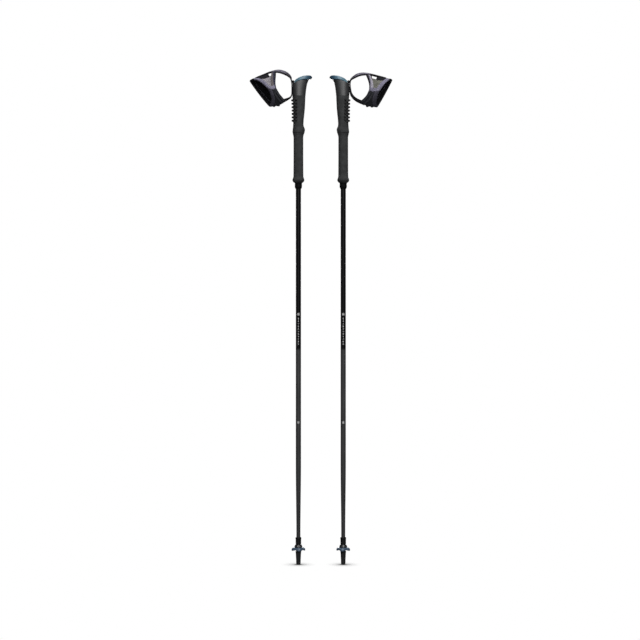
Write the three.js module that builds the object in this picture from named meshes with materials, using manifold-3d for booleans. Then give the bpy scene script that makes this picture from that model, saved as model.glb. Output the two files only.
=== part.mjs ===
// A pair of fixed-length trekking poles with moulded grips, click-in hand straps and mini baskets.
// Millimetres, +Z up. The origin is on the ground midway between the two tips. The poles stand
// upright side by side along X: each strap reaches outwards and each beak points inwards. Each
// pole is modelled with its axis on Z, its beak towards +X and its strap towards -X, and the
// right pole is mirrored. The two soft straps hang a little differently.

import * as THREE from 'three';
import { mergeVertices } from 'three/addons/utils/BufferGeometryUtils.js';
import Module from 'manifold-3d';

const wasm = await Module();
wasm.setup();

// ---------------------------------------------------------------- driving dimensions

const POLE_SPACING = 110;
const POLE_HEIGHT = 1200;
const CLEARANCE = 0.3;
const RUNNING_GAP = 0.25;
const AROUND = 16;

const SHAFT_RADIUS = 6.4;
const SHAFT_TIP_RADIUS = 4.9;
const SHAFT_WALL = 1.2;
const SHAFT_BOTTOM = 46;
const SHAFT_TOP = POLE_HEIGHT - 46;
const TAPER_BOTTOM = 69.24;
const TAPER_TOP = 250;
const TAPER_STATIONS = [110, 145, 180];

const CORE_RADIUS = 8.6;
const COLLAR_BOTTOM = 922;
const COLLAR_TOP = 936;
const EXTENSION_TOP = 1058;
const EXTENSION_RADIUS = 12.2;
const EXTENSION_EDGE = { width: 1, height: 3 };

// The outsides of turned pieces, as [radius, height above the piece's foot] pairs.
const COLLAR_OUTSIDE = [[7.3, 0], [8.3, 1.4], [8.9, 3.4], [8.9, 12.4], [8.4, COLLAR_TOP - COLLAR_BOTTOM]];
const EXTENSION_FOOT = [[12.4, 0], [14.2, 2.4], [14.6, 6], [13.8, 10], [EXTENSION_RADIUS, 15]];

const GRIP_BOTTOM = EXTENSION_TOP + CLEARANCE;
const HEAD_BOTTOM = 1149;
const NUB_HEIGHT = 2.4;
const NUB_PITCH = 8.2;
const NUB_ROWS = 8;
const NUB_BOTTOM = 1078;
const NUB_CREST = 0.3;
const NUB_VALLEY = 0.8;
const NUB_EDGE = { start: 0.2, full: 0.5 };

// The cap's outline from above: its half-widths at the strap end, the widest part and the beak.
const CAP_TOP = POLE_HEIGHT;
const CAP_HALF_WIDTH = 13;
const CAP_BACK = { x: -9.8, halfWidth: 7, curve: -5 };
const CAP_WIDEST = 4;
const CAP_BEAK = { x: 34, nose: 35, halfWidth: 3, curve: 28, curveHalfWidth: 12 };
const CUTTER_REACH = 40;

const POST_X = -13.2;
const POST_RADIUS = 1.5;
const POST_TOP = 1188.1;
const POST_HEAD = { radius: 1.9, height: 0.7 };
const EYE_RADIUS = 2.9;
const EYE_BOTTOM = 1181.6;
const EYE_TOP = 1187.2;
const POCKET = { from: -17, to: -3.6, halfWidth: 3, bottom: 1172.7, top: 1177.7 };
const POST_SLOT = { to: POST_X + 2, halfWidth: 2, bottom: POCKET.top - 1, top: 1190 };
const TONGUE_HALF_WIDTH = 2.6;
const CATCH_ROOM = { from: -7.6, to: 12.4, halfWidth: 3.4, bottom: POCKET.bottom + 1, top: 1195 };
const SHAFT_SOCKET = { depth: 15.5, above: 0.5 };
const PIVOT = { x: -1, z: 1180.6, radius: 1, halfLength: 5.8, fit: 0.2, endPlay: 0.6 };
const BUTTON = { x: 6.5, radius: 4.2, top: 1197.2, bottom: 1183.9, head: 5.4, stem: 1.6, overlap: 1.4 };
const SPRING = { x: 8, radius: 1.7, wire: 0.35, turns: 4, foot: CATCH_ROOM.bottom + 0.6, top: PIVOT.z + 0.2 };

// The catch from the side, as [x, height above its pivot] pairs: its lip is at the strap end.
const CATCH_WIDTH = 5.6;
const CATCH_OUTLINE = [
  [-6.6, -2.6], [-4.6, -2.6], [-4.4, -1.2], [2, -1.6], [9.6, 1.6], [9.6, 3.4], [2, 2], [-6.6, 0.4],
];

const WEBBING_WIDTH = 10;
const WEBBING_THICKNESS = 1.4;

const CUFF_SHELL = 2.2;
const CUFF_LINER = 1.6;
const FABRIC_GAP = 1.7;
const CUFF_WRIST_DEPTH = 27;
const CUFF_FRONT_DEPTH = 16;
const CUFF_LENGTH = 60;
const CUFF_TAPER = 2.2;
const BINDING_PROUD = 0.8;

// How each soft strap hangs, as [reach outwards from the shaft's axis, height] pairs. cuffTop and
// cuffBottom run from the wrist opening to the front; loop is the middle of the webbing from the
// cuff's top, over the thumb, down the grip and back. rimSetBack is how far the wrist opening is
// cut back on one side, and frontSetBack how far the front is cut back on both sides.
const STRAPS = {
  left: {
    cuffTop: [[117.3, 1187.5], [103, 1194], [88, 1200.4], [73, 1206.6], [58, 1211.2]],
    cuffBottom: [[69.4, 1123.7], [61, 1124.2], [52, 1126.2], [43, 1130.6], [34, 1136]],
    loop: [
      [51.6, 1213], [44, 1213.2], [35, 1210.6], [27, 1205.6], [20.6, 1199.6], [17.6, 1193.6],
      [17.3, 1187], [17.3, 1180], [17.3, 1168], [17.3, 1157], [18.6, 1149.6], [21.4, 1145],
      [26.5, 1140.6],
    ],
    rimSetBack: 22,
    frontSetBack: 10,
    frontSharpness: 3,
  },
  right: {
    cuffTop: [[118, 1189.4], [103, 1193.3], [88, 1197.3], [72, 1201.4], [57, 1204.9]],
    cuffBottom: [[82, 1122.3], [72, 1123.2], [62, 1125.2], [52, 1128.7], [42, 1133.6]],
    loop: [
      [50.6, 1206.2], [44, 1206.4], [35, 1204.4], [27.5, 1200.2], [21.5, 1194.8], [18.2, 1190.4],
      [17.3, 1186], [17.3, 1180], [17.3, 1172], [17.6, 1164.6], [20, 1157], [24.4, 1150],
      [29.6, 1143.8], [35, 1138.4],
    ],
    rimSetBack: 13.5,
    frontSetBack: 15,
    frontSharpness: 2,
  },
};

const SLEEVE_TOP = 67;
const SLEEVE_RADIUS = 6.5;
const SLEEVE_END = 9;
const HUB_TOP = 49;
const HUB_BOTTOM = 42.7;
const BASKET_RADIUS = 17;
const BASKET_BORE = 7.2;
const BASKET_LOBES = 4;
const BASKET_TURN = THREE.MathUtils.degToRad(10);
const BASKET_NOTCH = 4;
const RUBBER_TOP = 33;

// The tip's turned sections, as [radius, height above the ground] pairs.
const STUD_BORE = 1.9;
const SLEEVE_FOOT = [[STUD_BORE, SLEEVE_END], [3.9, SLEEVE_END], [4.6, 29], [5.4, 34]];
const SLEEVE_NECK = SLEEVE_RADIUS - 0.3;
const SLEEVE_RIM = SLEEVE_RADIUS + 0.3;
const STUD_SECTION = [[0, 5.2], [1.1, 5.2], [2.9, 7.4], [2.9, 8.7], [1.6, 8.7], [1.6, 38], [0, 38]];
const CARBIDE_SECTION = [[0, 2.4], [0.9, 2.4], [1.5, 3], [1.1, 3.9], [1.1, 4.9], [0, 4.9]];
const HUB_OUTSIDE = [[10, HUB_BOTTOM], [9.6, 44.1], [8.4, 48], [7.9, HUB_TOP]];
const RUBBER_OUTSIDE = [[0, 0], [3.5, 0], [4.7, 0.8], [5.1, 2.6], [5.3, 12], [6.6, 31], [6.6, RUBBER_TOP]];
const RUBBER_INSIDE = [
  [5.75, RUBBER_TOP], [4.95, 28.4], [4.25, 8.4], [3.2, 7], [1.9, 4.4], [1.9, 2], [0, 2],
];

// The basket's section, as [share of the way out, drop below its seat] pairs.
const BASKET_SECTION = [
  [0, 3.4], [0.5, 4.2], [0.7, 8], [0.9, 8.4], [1, 6], [0.85, 2.4], [0.45, 0.6], [0, 0],
];
const BASKET_DROP = 0.75;

// ---------------------------------------------------------------- solid helpers

function bare(geometry) {
  const copy = geometry.clone();
  copy.deleteAttribute('normal');
  copy.deleteAttribute('uv');
  return mergeVertices(copy, 1e-4);
}

function toSolid(geometry) {
  const merged = bare(geometry);
  return new wasm.Manifold(new wasm.Mesh({
    numProp: 3,
    vertProperties: new Float32Array(merged.attributes.position.array),
    triVerts: new Uint32Array(merged.index.array),
  }));
}

function toGeometry(solid) {
  const mesh = solid.getMesh();
  const geometry = new THREE.BufferGeometry();
  geometry.setAttribute('position', new THREE.BufferAttribute(mesh.vertProperties, 3));
  geometry.setIndex(new THREE.BufferAttribute(mesh.triVerts, 1));
  return geometry;
}

function cut(body, ...tools) {
  return toGeometry(tools.reduce((left, tool) => left.subtract(toSolid(tool)), toSolid(body)));
}

function join(...pieces) {
  return toGeometry(pieces.map(toSolid).reduce((left, right) => left.add(right)));
}

// A body of revolution about Z from [radius, height] pairs that run anticlockwise in (r, z).
function turned(profile, around = AROUND) {
  const points = profile.map(([radius, height]) => new THREE.Vector2(radius, height));
  points.push(points[0].clone());
  const geometry = new THREE.LatheGeometry(points, around);
  geometry.rotateX(Math.PI / 2);
  return geometry;
}

function box(x0, x1, y0, y1, z0, z1) {
  const geometry = new THREE.BoxGeometry(x1 - x0, y1 - y0, z1 - z0);
  geometry.translate((x0 + x1) / 2, (y0 + y1) / 2, (z0 + z1) / 2);
  return geometry;
}

function rod(radius, length, axis, x, y, z, around = 16) {
  const geometry = new THREE.CylinderGeometry(radius, radius, length, around);
  if (axis === 'z') geometry.rotateX(Math.PI / 2);
  geometry.translate(x, y, z);
  return geometry;
}

// A closed skin over rings of points. The ends are joined to each other, or each is closed by a
// strip between the first and the second half of its ring.
function skin(rings, joined = false) {
  const count = rings[0].length;
  const positions = rings.flat().flatMap((point) => [point.x, point.y, point.z]);
  const faces = [];
  const last = joined ? rings.length : rings.length - 1;
  for (let ring = 0; ring < last; ring += 1) {
    const next = (ring + 1) % rings.length;
    for (let i = 0; i < count; i += 1) {
      const j = (i + 1) % count;
      const [a, b] = [ring * count + i, ring * count + j];
      const [c, d] = [next * count + j, next * count + i];
      faces.push(a, b, c, a, c, d);
    }
  }
  const end = (rings.length - 1) * count;
  for (let i = 0; !joined && i < count / 2 - 1; i += 1) {
    const across = count - 1 - i;
    faces.push(i, across, i + 1, across, across - 1, i + 1);
    faces.push(end + i, end + i + 1, end + across, end + across, end + i + 1, end + across - 1);
  }
  const geometry = new THREE.BufferGeometry();
  geometry.setAttribute('position', new THREE.Float32BufferAttribute(positions, 3));
  geometry.setIndex(faces);
  return geometry;
}

// An outline in the XZ plane extruded to a width in Y, centred on y = 0.
function slab(shape, width, curveSegments = 6) {
  const geometry = new THREE.ExtrudeGeometry(shape, {
    depth: width, bevelEnabled: false, curveSegments,
  });
  geometry.rotateX(Math.PI / 2);
  geometry.translate(0, width / 2, 0);
  return geometry;
}

function shapeOf(points) {
  return new THREE.Shape(points.map(([x, z]) => new THREE.Vector2(x, z)));
}

// ---------------------------------------------------------------- shaft, core and collar

function shaftRadius(z) {
  const taper = THREE.MathUtils.smoothstep(z, TAPER_BOTTOM, TAPER_TOP);
  return THREE.MathUtils.lerp(SHAFT_TIP_RADIUS, SHAFT_RADIUS, taper);
}

function shaft() {
  const heights = [SHAFT_BOTTOM, ...TAPER_STATIONS, TAPER_TOP, SHAFT_TOP];
  const outside = heights.map((z) => [shaftRadius(z), z]);
  const inside = heights.toReversed().map((z) => [shaftRadius(z) - SHAFT_WALL, z]);
  return turned([...outside, ...inside]);
}

function gripCore() {
  const bore = SHAFT_RADIUS + CLEARANCE;
  const top = HEAD_BOTTOM - CLEARANCE;
  return turned([
    [bore, COLLAR_TOP + CLEARANCE], [CORE_RADIUS, COLLAR_TOP + CLEARANCE],
    [CORE_RADIUS, top], [bore, top],
  ]);
}

function gripCollar() {
  const bore = SHAFT_RADIUS + CLEARANCE;
  const outside = COLLAR_OUTSIDE.map(([radius, rise]) => [radius, COLLAR_BOTTOM + rise]);
  return turned([[bore, COLLAR_BOTTOM], ...outside, [bore, COLLAR_TOP]]);
}

function foamExtension() {
  const bore = CORE_RADIUS + CLEARANCE;
  const bottom = COLLAR_TOP + CLEARANCE;
  const foot = EXTENSION_FOOT.map(([radius, rise]) => [radius, bottom + rise]);
  return turned([
    [bore, bottom], ...foot, [EXTENSION_RADIUS, EXTENSION_TOP - EXTENSION_EDGE.height],
    [EXTENSION_RADIUS - EXTENSION_EDGE.width, EXTENSION_TOP], [bore, EXTENSION_TOP],
  ]);
}

// ---------------------------------------------------------------- grip

// Half-widths of the grip towards the beak (front), the strap (back) and the sides. The first
// FOOT_STATIONS of them make the raised ring at its foot.
const FOOT_STATIONS = 5;
const GRIP_STATIONS = [
  { z: GRIP_BOTTOM, front: 13.4, back: 12.4, side: 13.0 },
  { z: GRIP_BOTTOM + 2.6, front: 15.6, back: 14.1, side: 14.6 },
  { z: GRIP_BOTTOM + 6.8, front: 16.2, back: 14.5, side: 15.0 },
  { z: GRIP_BOTTOM + 11, front: 14.6, back: 13.9, side: 14.2 },
  { z: GRIP_BOTTOM + 17, front: 12.7, back: 13.9, side: 13.3 },
  { z: 1090, front: 12.9, back: 14.0, side: 13.3 },
  { z: 1105, front: 14.6, back: 14.1, side: 13.7 },
  { z: 1120, front: 16.0, back: 14.2, side: 14.1 },
  { z: 1135, front: 16.7, back: 14.5, side: 14.3 },
  { z: 1147, front: 17.1, back: 15.1, side: 14.4 },
  { z: 1158, front: 18.2, back: 15.2, side: 14.5 },
  { z: 1170, front: 19.7, back: 15.2, side: 14.5 },
  { z: 1180, front: 21.6, back: 15.2, side: 14.5 },
  { z: 1186, front: 23.6, back: 15.0, side: 14.3 },
  { z: 1193, front: 27.5, back: 14.6, side: 13.9 },
  { z: 1202, front: 30.0, back: 14.0, side: 13.4 },
];

function gripWidths(z) {
  const above = Math.max(1, GRIP_STATIONS.findIndex((station) => station.z >= z));
  const [low, high] = [GRIP_STATIONS[above - 1], GRIP_STATIONS[above]];
  const part = THREE.MathUtils.clamp((z - low.z) / (high.z - low.z), 0, 1);
  const mix = (key) => THREE.MathUtils.lerp(low[key], high[key], part);
  return { front: mix('front'), back: mix('back'), side: mix('side') };
}

function gripRing(z, around, swell = 0) {
  const { front, back, side } = gripWidths(z);
  return Array.from({ length: around }, (_, i) => {
    const angle = (2 * Math.PI * i) / around;
    const [c, s] = [Math.cos(angle), Math.sin(angle)];
    const reach = c > 0 ? front : back;
    const nub = swell * THREE.MathUtils.clamp(THREE.MathUtils.mapLinear(
      -c, NUB_EDGE.start, NUB_EDGE.full, 0, 1), 0, 1);
    return new THREE.Vector3((reach + nub) * c, (side + nub) * s, z);
  });
}

function circleRing(radius, z, around) {
  return Array.from({ length: around }, (_, i) => {
    const angle = (2 * Math.PI * i) / around;
    return new THREE.Vector3(radius * Math.cos(angle), radius * Math.sin(angle), z);
  });
}

function foamGrip() {
  const around = 16;
  const top = HEAD_BOTTOM - CLEARANCE;
  const bore = CORE_RADIUS + CLEARANCE;
  const rings = GRIP_STATIONS.slice(0, FOOT_STATIONS).map(({ z }) => gripRing(z, around));
  for (let row = 0; row < NUB_ROWS; row += 1) {
    rings.push(gripRing(NUB_BOTTOM + (row + NUB_CREST) * NUB_PITCH, around, NUB_HEIGHT));
    rings.push(gripRing(NUB_BOTTOM + (row + NUB_VALLEY) * NUB_PITCH, around));
  }
  rings.push(gripRing(top, around));
  rings.push(circleRing(bore, top, around));
  rings.push(circleRing(bore, GRIP_BOTTOM, around));
  return skin(rings, true);
}

// The underside of the cap, which the head's top follows, and the top of the cap, as [x, height]
// pairs from the strap end to the beak.
const SEAT_LINE = [[-10, 1181.4], [-4, 1185.4], [3, 1188], [13, 1190], [24, 1190.8], [31, 1192]];
const TOP_LINE = [
  [-9.6, 1187], [-5, 1191.2], [3, 1195.4], [12, 1198.4], [22, CAP_TOP], [30, CAP_TOP - 0.6],
  [33.6, 1197.6], [33.6, 1194.6],
];
const HEAD_STATIONS = [HEAD_BOTTOM, 1158, 1170, 1180, 1186, 1193, CAP_TOP];

function aboveSeat() {
  const seat = SEAT_LINE.map(([x, z]) => [x, z - CLEARANCE]);
  const top = CAP_TOP + CUTTER_REACH;
  return slab(shapeOf([
    [-CUTTER_REACH, seat[0][1]], ...seat, [CUTTER_REACH, seat.at(-1)[1]],
    [CUTTER_REACH, top], [-CUTTER_REACH, top],
  ]), 2 * CUTTER_REACH);
}

// A box across the middle of the head from one of its rooms.
function roomBox({ from, to, halfWidth, bottom, top }) {
  return box(from, to, -halfWidth, halfWidth, bottom, top);
}

function gripHead() {
  const around = 20;
  const body = skin(HEAD_STATIONS.map((z) => gripRing(z, around)));
  const { depth, above } = SHAFT_SOCKET;
  const socket = rod(SHAFT_RADIUS + CLEARANCE, depth + above, 'z', 0, 0,
    SHAFT_TOP + (above - depth) / 2, around);
  const pinHole = rod(PIVOT.radius + PIVOT.fit, 2 * (PIVOT.halfLength + PIVOT.endPlay), 'y',
    PIVOT.x, 0, PIVOT.z, 10);
  return cut(body, aboveSeat(), socket, roomBox(POCKET), roomBox({ from: POCKET.from, ...POST_SLOT }),
    roomBox(CATCH_ROOM), pinHole);
}

function topCap() {
  const blank = slab(shapeOf([...SEAT_LINE, ...TOP_LINE.toReversed()]), 2 * CUTTER_REACH);
  const plan = new THREE.Shape();
  plan.moveTo(CAP_BACK.x, -CAP_BACK.halfWidth);
  plan.quadraticCurveTo(CAP_BACK.curve, -CAP_HALF_WIDTH, CAP_WIDEST, -CAP_HALF_WIDTH);
  plan.quadraticCurveTo(CAP_BEAK.curve, -CAP_BEAK.curveHalfWidth, CAP_BEAK.x, -CAP_BEAK.halfWidth);
  plan.quadraticCurveTo(CAP_BEAK.nose, 0, CAP_BEAK.x, CAP_BEAK.halfWidth);
  plan.quadraticCurveTo(CAP_BEAK.curve, CAP_BEAK.curveHalfWidth, CAP_WIDEST, CAP_HALF_WIDTH);
  plan.quadraticCurveTo(CAP_BACK.curve, CAP_HALF_WIDTH, CAP_BACK.x, CAP_BACK.halfWidth);
  plan.closePath();
  const column = new THREE.ExtrudeGeometry(plan, {
    depth: 2 * CUTTER_REACH, bevelEnabled: false, curveSegments: 5,
  });
  column.translate(0, 0, CAP_TOP - CUTTER_REACH);
  const well = rod(BUTTON.radius + CLEARANCE, CUTTER_REACH, 'z', BUTTON.x, 0, BUTTON.top, 16);
  return toGeometry(toSolid(blank).intersect(toSolid(column)).subtract(toSolid(well)));
}

// ---------------------------------------------------------------- strap lock in the head

function releaseButton() {
  const { x, radius, bottom, top } = BUTTON;
  const stemTop = top - BUTTON.head + BUTTON.overlap;
  const head = rod(radius, BUTTON.head, 'z', x, 0, top - BUTTON.head / 2, 16);
  const stem = rod(BUTTON.stem, stemTop - bottom, 'z', x, 0, (stemTop + bottom) / 2, 10);
  return join(head, stem);
}

function catchLever() {
  const bar = slab(shapeOf(CATCH_OUTLINE.map(([x, rise]) => [x, PIVOT.z + rise])), CATCH_WIDTH);
  const bore = rod(PIVOT.radius + RUNNING_GAP, 2 * CATCH_WIDTH, 'y', PIVOT.x, 0, PIVOT.z, 10);
  return cut(bar, bore);
}

function catchPin() {
  return rod(PIVOT.radius, 2 * PIVOT.halfLength, 'y', PIVOT.x, 0, PIVOT.z, 10);
}

class SpringCurve extends THREE.Curve {
  getPoint(t, target = new THREE.Vector3()) {
    const angle = 2 * Math.PI * SPRING.turns * t;
    return target.set(
      SPRING.x + SPRING.radius * Math.cos(angle),
      SPRING.radius * Math.sin(angle),
      THREE.MathUtils.lerp(SPRING.foot, SPRING.top, t),
    );
  }
}

function catchSpring() {
  const wire = new THREE.Shape();
  wire.absarc(0, 0, SPRING.wire, 0, 2 * Math.PI, false);
  return new THREE.ExtrudeGeometry(wire, {
    steps: 7 * SPRING.turns, curveSegments: 2, extrudePath: new SpringCurve(),
  });
}

// ---------------------------------------------------------------- strap anchor and webbing

function strapHook() {
  const inner = POCKET.to - CLEARANCE;
  const [low, high] = [POCKET.bottom + CLEARANCE, POCKET.top - CLEARANCE];
  const middle = (low + high) / 2;
  const tongue = roomBox({
    from: POST_X - POST_RADIUS, to: inner, halfWidth: TONGUE_HALF_WIDTH, bottom: low, top: high,
  });
  const post = rod(POST_RADIUS, POST_TOP - middle, 'z', POST_X, 0, (POST_TOP + middle) / 2, 12);
  const headMiddle = POST_TOP - POST_HEAD.height / 2;
  const head = rod(POST_HEAD.radius, POST_HEAD.height, 'z', POST_X, 0, headMiddle, 12);
  return join(tongue, post, head);
}

function strapEye() {
  const middle = (EYE_BOTTOM + EYE_TOP) / 2;
  const ring = rod(EYE_RADIUS, EYE_TOP - EYE_BOTTOM, 'z', POST_X, 0, middle, 16);
  return cut(ring, rod(POST_RADIUS + RUNNING_GAP, CUTTER_REACH, 'z', POST_X, 0, middle, 12));
}

function ribbon(points, width, thickness, steps) {
  const curve = new THREE.CatmullRomCurve3(
    points.map(([reach, z]) => new THREE.Vector3(-reach, 0, z)), false, 'centripetal');
  const rings = [];
  for (let i = 0; i <= steps; i += 1) {
    const middle = curve.getPointAt(i / steps);
    const along = curve.getTangentAt(i / steps);
    const out = new THREE.Vector3(along.z, 0, -along.x).multiplyScalar(thickness / 2);
    const across = new THREE.Vector3(0, width / 2, 0);
    rings.push([
      middle.clone().add(out).add(across), middle.clone().sub(out).add(across),
      middle.clone().sub(out).sub(across), middle.clone().add(out).sub(across),
    ]);
  }
  return skin(rings);
}

function webbingLoop(strap) {
  return ribbon(strap.loop, WEBBING_WIDTH, WEBBING_THICKNESS, 30);
}

// ---------------------------------------------------------------- hand cuff

function lineOf(points) {
  return new THREE.CatmullRomCurve3(points.map(([reach, z]) => new THREE.Vector3(-reach, 0, z)));
}

// A function that gives a point on a strap's cuff: along 0 is the wrist opening and 1 the front,
// turn 0 is the top and 90 degrees the side with the set-back rim; proud is the distance out of
// the outer face. Past either end the cuff runs straight on.
function cuffSurface(strap) {
  const topLine = lineOf(strap.cuffTop);
  const bottomLine = lineOf(strap.cuffBottom);
  return (along, turn, proud) => {
    const t = THREE.MathUtils.clamp(along, 0, 1);
    const top = topLine.getPoint(t);
    const bottom = bottomLine.getPoint(t);
    const middle = top.clone().add(bottom).multiplyScalar(0.5);
    const up = top.clone().sub(bottom).multiplyScalar(0.5);
    const half = up.length();
    up.normalize();
    const inwards = new THREE.Vector3(up.z, 0, -up.x);
    const depth = THREE.MathUtils.lerp(CUFF_WRIST_DEPTH, CUFF_FRONT_DEPTH, t ** CUFF_TAPER);
    const rim = strap.rimSetBack * Math.max(0, Math.sin(turn)) * (1 - t);
    const front = strap.frontSetBack * Math.abs(Math.sin(turn)) ** strap.frontSharpness * t ** 2;
    const beyond = (along - t) * CUFF_LENGTH;
    return middle
      .addScaledVector(up, (half + proud) * Math.cos(turn))
      .addScaledVector(new THREE.Vector3(0, -1, 0), (depth + proud) * Math.sin(turn))
      .addScaledVector(inwards, rim - front + beyond);
  };
}

// A closed tube of the cuff's section between two offsets from its outer face.
function cuffTube(cuffPoint, from, to, inner, outer, steps) {
  const around = 20;
  const ring = (along, proud) => Array.from({ length: around }, (_, i) => (
    cuffPoint(along, (2 * Math.PI * i) / around, proud)));
  const alongs = Array.from({ length: steps + 1 }, (_, i) => from + ((to - from) * i) / steps);
  const outside = alongs.map((along) => ring(along, outer));
  const inside = alongs.toReversed().map((along) => ring(along, inner));
  return skin([...outside, ...inside], true);
}

// A closed patch of the cuff's face between two turns, from one offset to another.
function cuffPatch(cuffPoint, from, to, turnFrom, turnTo, inner, outer) {
  const [steps, around] = [4, 7];
  const turns = Array.from({ length: around + 1 }, (_, i) => (
    turnFrom + ((turnTo - turnFrom) * i) / around));
  const rings = Array.from({ length: steps + 1 }, (_, i) => {
    const along = from + ((to - from) * i) / steps;
    const outside = turns.map((turn) => cuffPoint(along, turn, outer));
    const inside = turns.toReversed().map((turn) => cuffPoint(along, turn, inner));
    return [...outside, ...inside];
  });
  return skin(rings);
}

// The soft pieces of one strap. Each cuff piece gives where it starts and ends along the cuff, the
// turns it spans if it doesn't go all round, and its inner and outer faces.
function strapPieces(strap) {
  const surface = cuffSurface(strap);
  const degrees = THREE.MathUtils.degToRad;
  const layers = -CUFF_SHELL - CUFF_LINER;
  const liner = -CUFF_SHELL - FABRIC_GAP;
  return [
    ['webbing_loop', webbingLoop(strap), MATERIALS.webbing],
    ['cuff_shell', cuffTube(surface, 0, 1, -CUFF_SHELL, 0, 4), MATERIALS.fabric],
    ['cuff_liner', cuffTube(surface, 0, 1, liner - CUFF_LINER, liner, 4), MATERIALS.fabric],
    ['wrist_binding', cuffTube(surface, -0.09, -0.02, layers, BINDING_PROUD, 1), MATERIALS.trim],
    ['front_binding', cuffTube(surface, 1.02, 1.07, layers, BINDING_PROUD, 1), MATERIALS.trim],
    ['mesh_window', cuffPatch(surface, 0.45, 0.93, degrees(20), degrees(80), 1.1, 1.9),
      MATERIALS.mesh],
    ['closure_flap', cuffPatch(surface, 0.4, 0.93, degrees(96), degrees(168), 1.1, 2.7),
      MATERIALS.fabric],
  ];
}

// ---------------------------------------------------------------- tip and basket

function tipSleeve() {
  const bore = SHAFT_TIP_RADIUS + CLEARANCE;
  const seat = SHAFT_BOTTOM - CLEARANCE;
  return turned([
    ...SLEEVE_FOOT, [SLEEVE_NECK, HUB_BOTTOM - 4], [SLEEVE_NECK, HUB_TOP + 0.6],
    [SLEEVE_RADIUS, HUB_TOP + 2], [SLEEVE_RADIUS, SLEEVE_TOP - 5],
    [SLEEVE_RIM, SLEEVE_TOP - 3.6], [SLEEVE_RIM, SLEEVE_TOP - 1],
    [SLEEVE_RADIUS - 0.4, SLEEVE_TOP], [bore, SLEEVE_TOP], [bore, seat], [STUD_BORE, seat],
  ]);
}

function basketHub() {
  const bore = SLEEVE_NECK + CLEARANCE;
  return turned([[bore, HUB_BOTTOM], ...HUB_OUTSIDE, [bore, HUB_TOP]]);
}

// A shallow umbrella of thick lobes whose rim turns down.
function basket() {
  const around = 32;
  const top = HUB_BOTTOM - CLEARANCE;
  const ring = (share, drop) => Array.from({ length: around }, (_, i) => {
    const angle = (2 * Math.PI * i) / around;
    const lobe = 0.5 + 0.5 * Math.cos(BASKET_LOBES * (angle - BASKET_TURN));
    const rim = BASKET_RADIUS - BASKET_NOTCH * (1 - lobe);
    const radius = THREE.MathUtils.lerp(BASKET_BORE, rim, share);
    const z = top - drop * THREE.MathUtils.lerp(BASKET_DROP, 1, lobe);
    return new THREE.Vector3(radius * Math.cos(angle), radius * Math.sin(angle), z);
  });
  return skin(BASKET_SECTION.map(([share, drop]) => ring(share, drop)), true);
}

// ---------------------------------------------------------------- materials and assembly

function finish(color, roughness, metalness = 0) {
  return new THREE.MeshStandardMaterial({ color, roughness, metalness });
}

const MATERIALS = {
  carbon: finish('#141516', 0.3),
  plastic: finish('#1b1c1e', 0.5),
  foam: finish('#37393a', 0.9),
  rubber: finish('#232425', 0.75),
  cap: finish('#4b7389', 0.4),
  basket: finish('#3c5069', 0.45),
  webbing: finish('#2b2a31', 0.85),
  fabric: finish('#1c1c20', 0.9),
  trim: finish('#7d7b91', 0.85),
  mesh: finish('#6c675f', 0.9),
  steel: finish('#9a9c9f', 0.3, 1),
  carbide: finish('#55575a', 0.35, 1),
};

const POLE_PIECES = [
  ['shaft', shaft(), MATERIALS.carbon],
  ['grip_core', gripCore(), MATERIALS.plastic],
  ['grip_collar', gripCollar(), MATERIALS.plastic],
  ['foam_extension', foamExtension(), MATERIALS.foam],
  ['foam_grip', foamGrip(), MATERIALS.foam],
  ['grip_head', gripHead(), MATERIALS.rubber],
  ['top_cap', topCap(), MATERIALS.cap],
  ['release_button', releaseButton(), MATERIALS.cap],
  ['catch_lever', catchLever(), MATERIALS.steel],
  ['catch_pin', catchPin(), MATERIALS.steel],
  ['catch_spring', catchSpring(), MATERIALS.steel],
  ['strap_hook', strapHook(), MATERIALS.plastic],
  ['strap_eye', strapEye(), MATERIALS.plastic],
  ['tip_sleeve', tipSleeve(), MATERIALS.plastic],
  ['basket_hub', basketHub(), MATERIALS.plastic],
  ['basket', basket(), MATERIALS.basket],
  ['tip_stud', turned(STUD_SECTION, 12), MATERIALS.steel],
  ['carbide_point', turned(CARBIDE_SECTION, 10), MATERIALS.carbide],
  ['rubber_tip', turned([...RUBBER_OUTSIDE, ...RUBBER_INSIDE]), MATERIALS.rubber],
];

function pole(side) {
  const group = new THREE.Group();
  for (const [name, geometry, material] of [...POLE_PIECES, ...strapPieces(STRAPS[side])]) {
    const mesh = new THREE.Mesh(geometry, material);
    mesh.name = `${side}_${name}`;
    group.add(mesh);
  }
  return group;
}

const leftPole = pole('left');
leftPole.position.x = -POLE_SPACING / 2;

const rightPole = pole('right');
rightPole.position.x = POLE_SPACING / 2;
rightPole.scale.x = -1;

const trekkingPoles = new THREE.Group();
trekkingPoles.add(leftPole, rightPole);

export default trekkingPoles;
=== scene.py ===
import math

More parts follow.
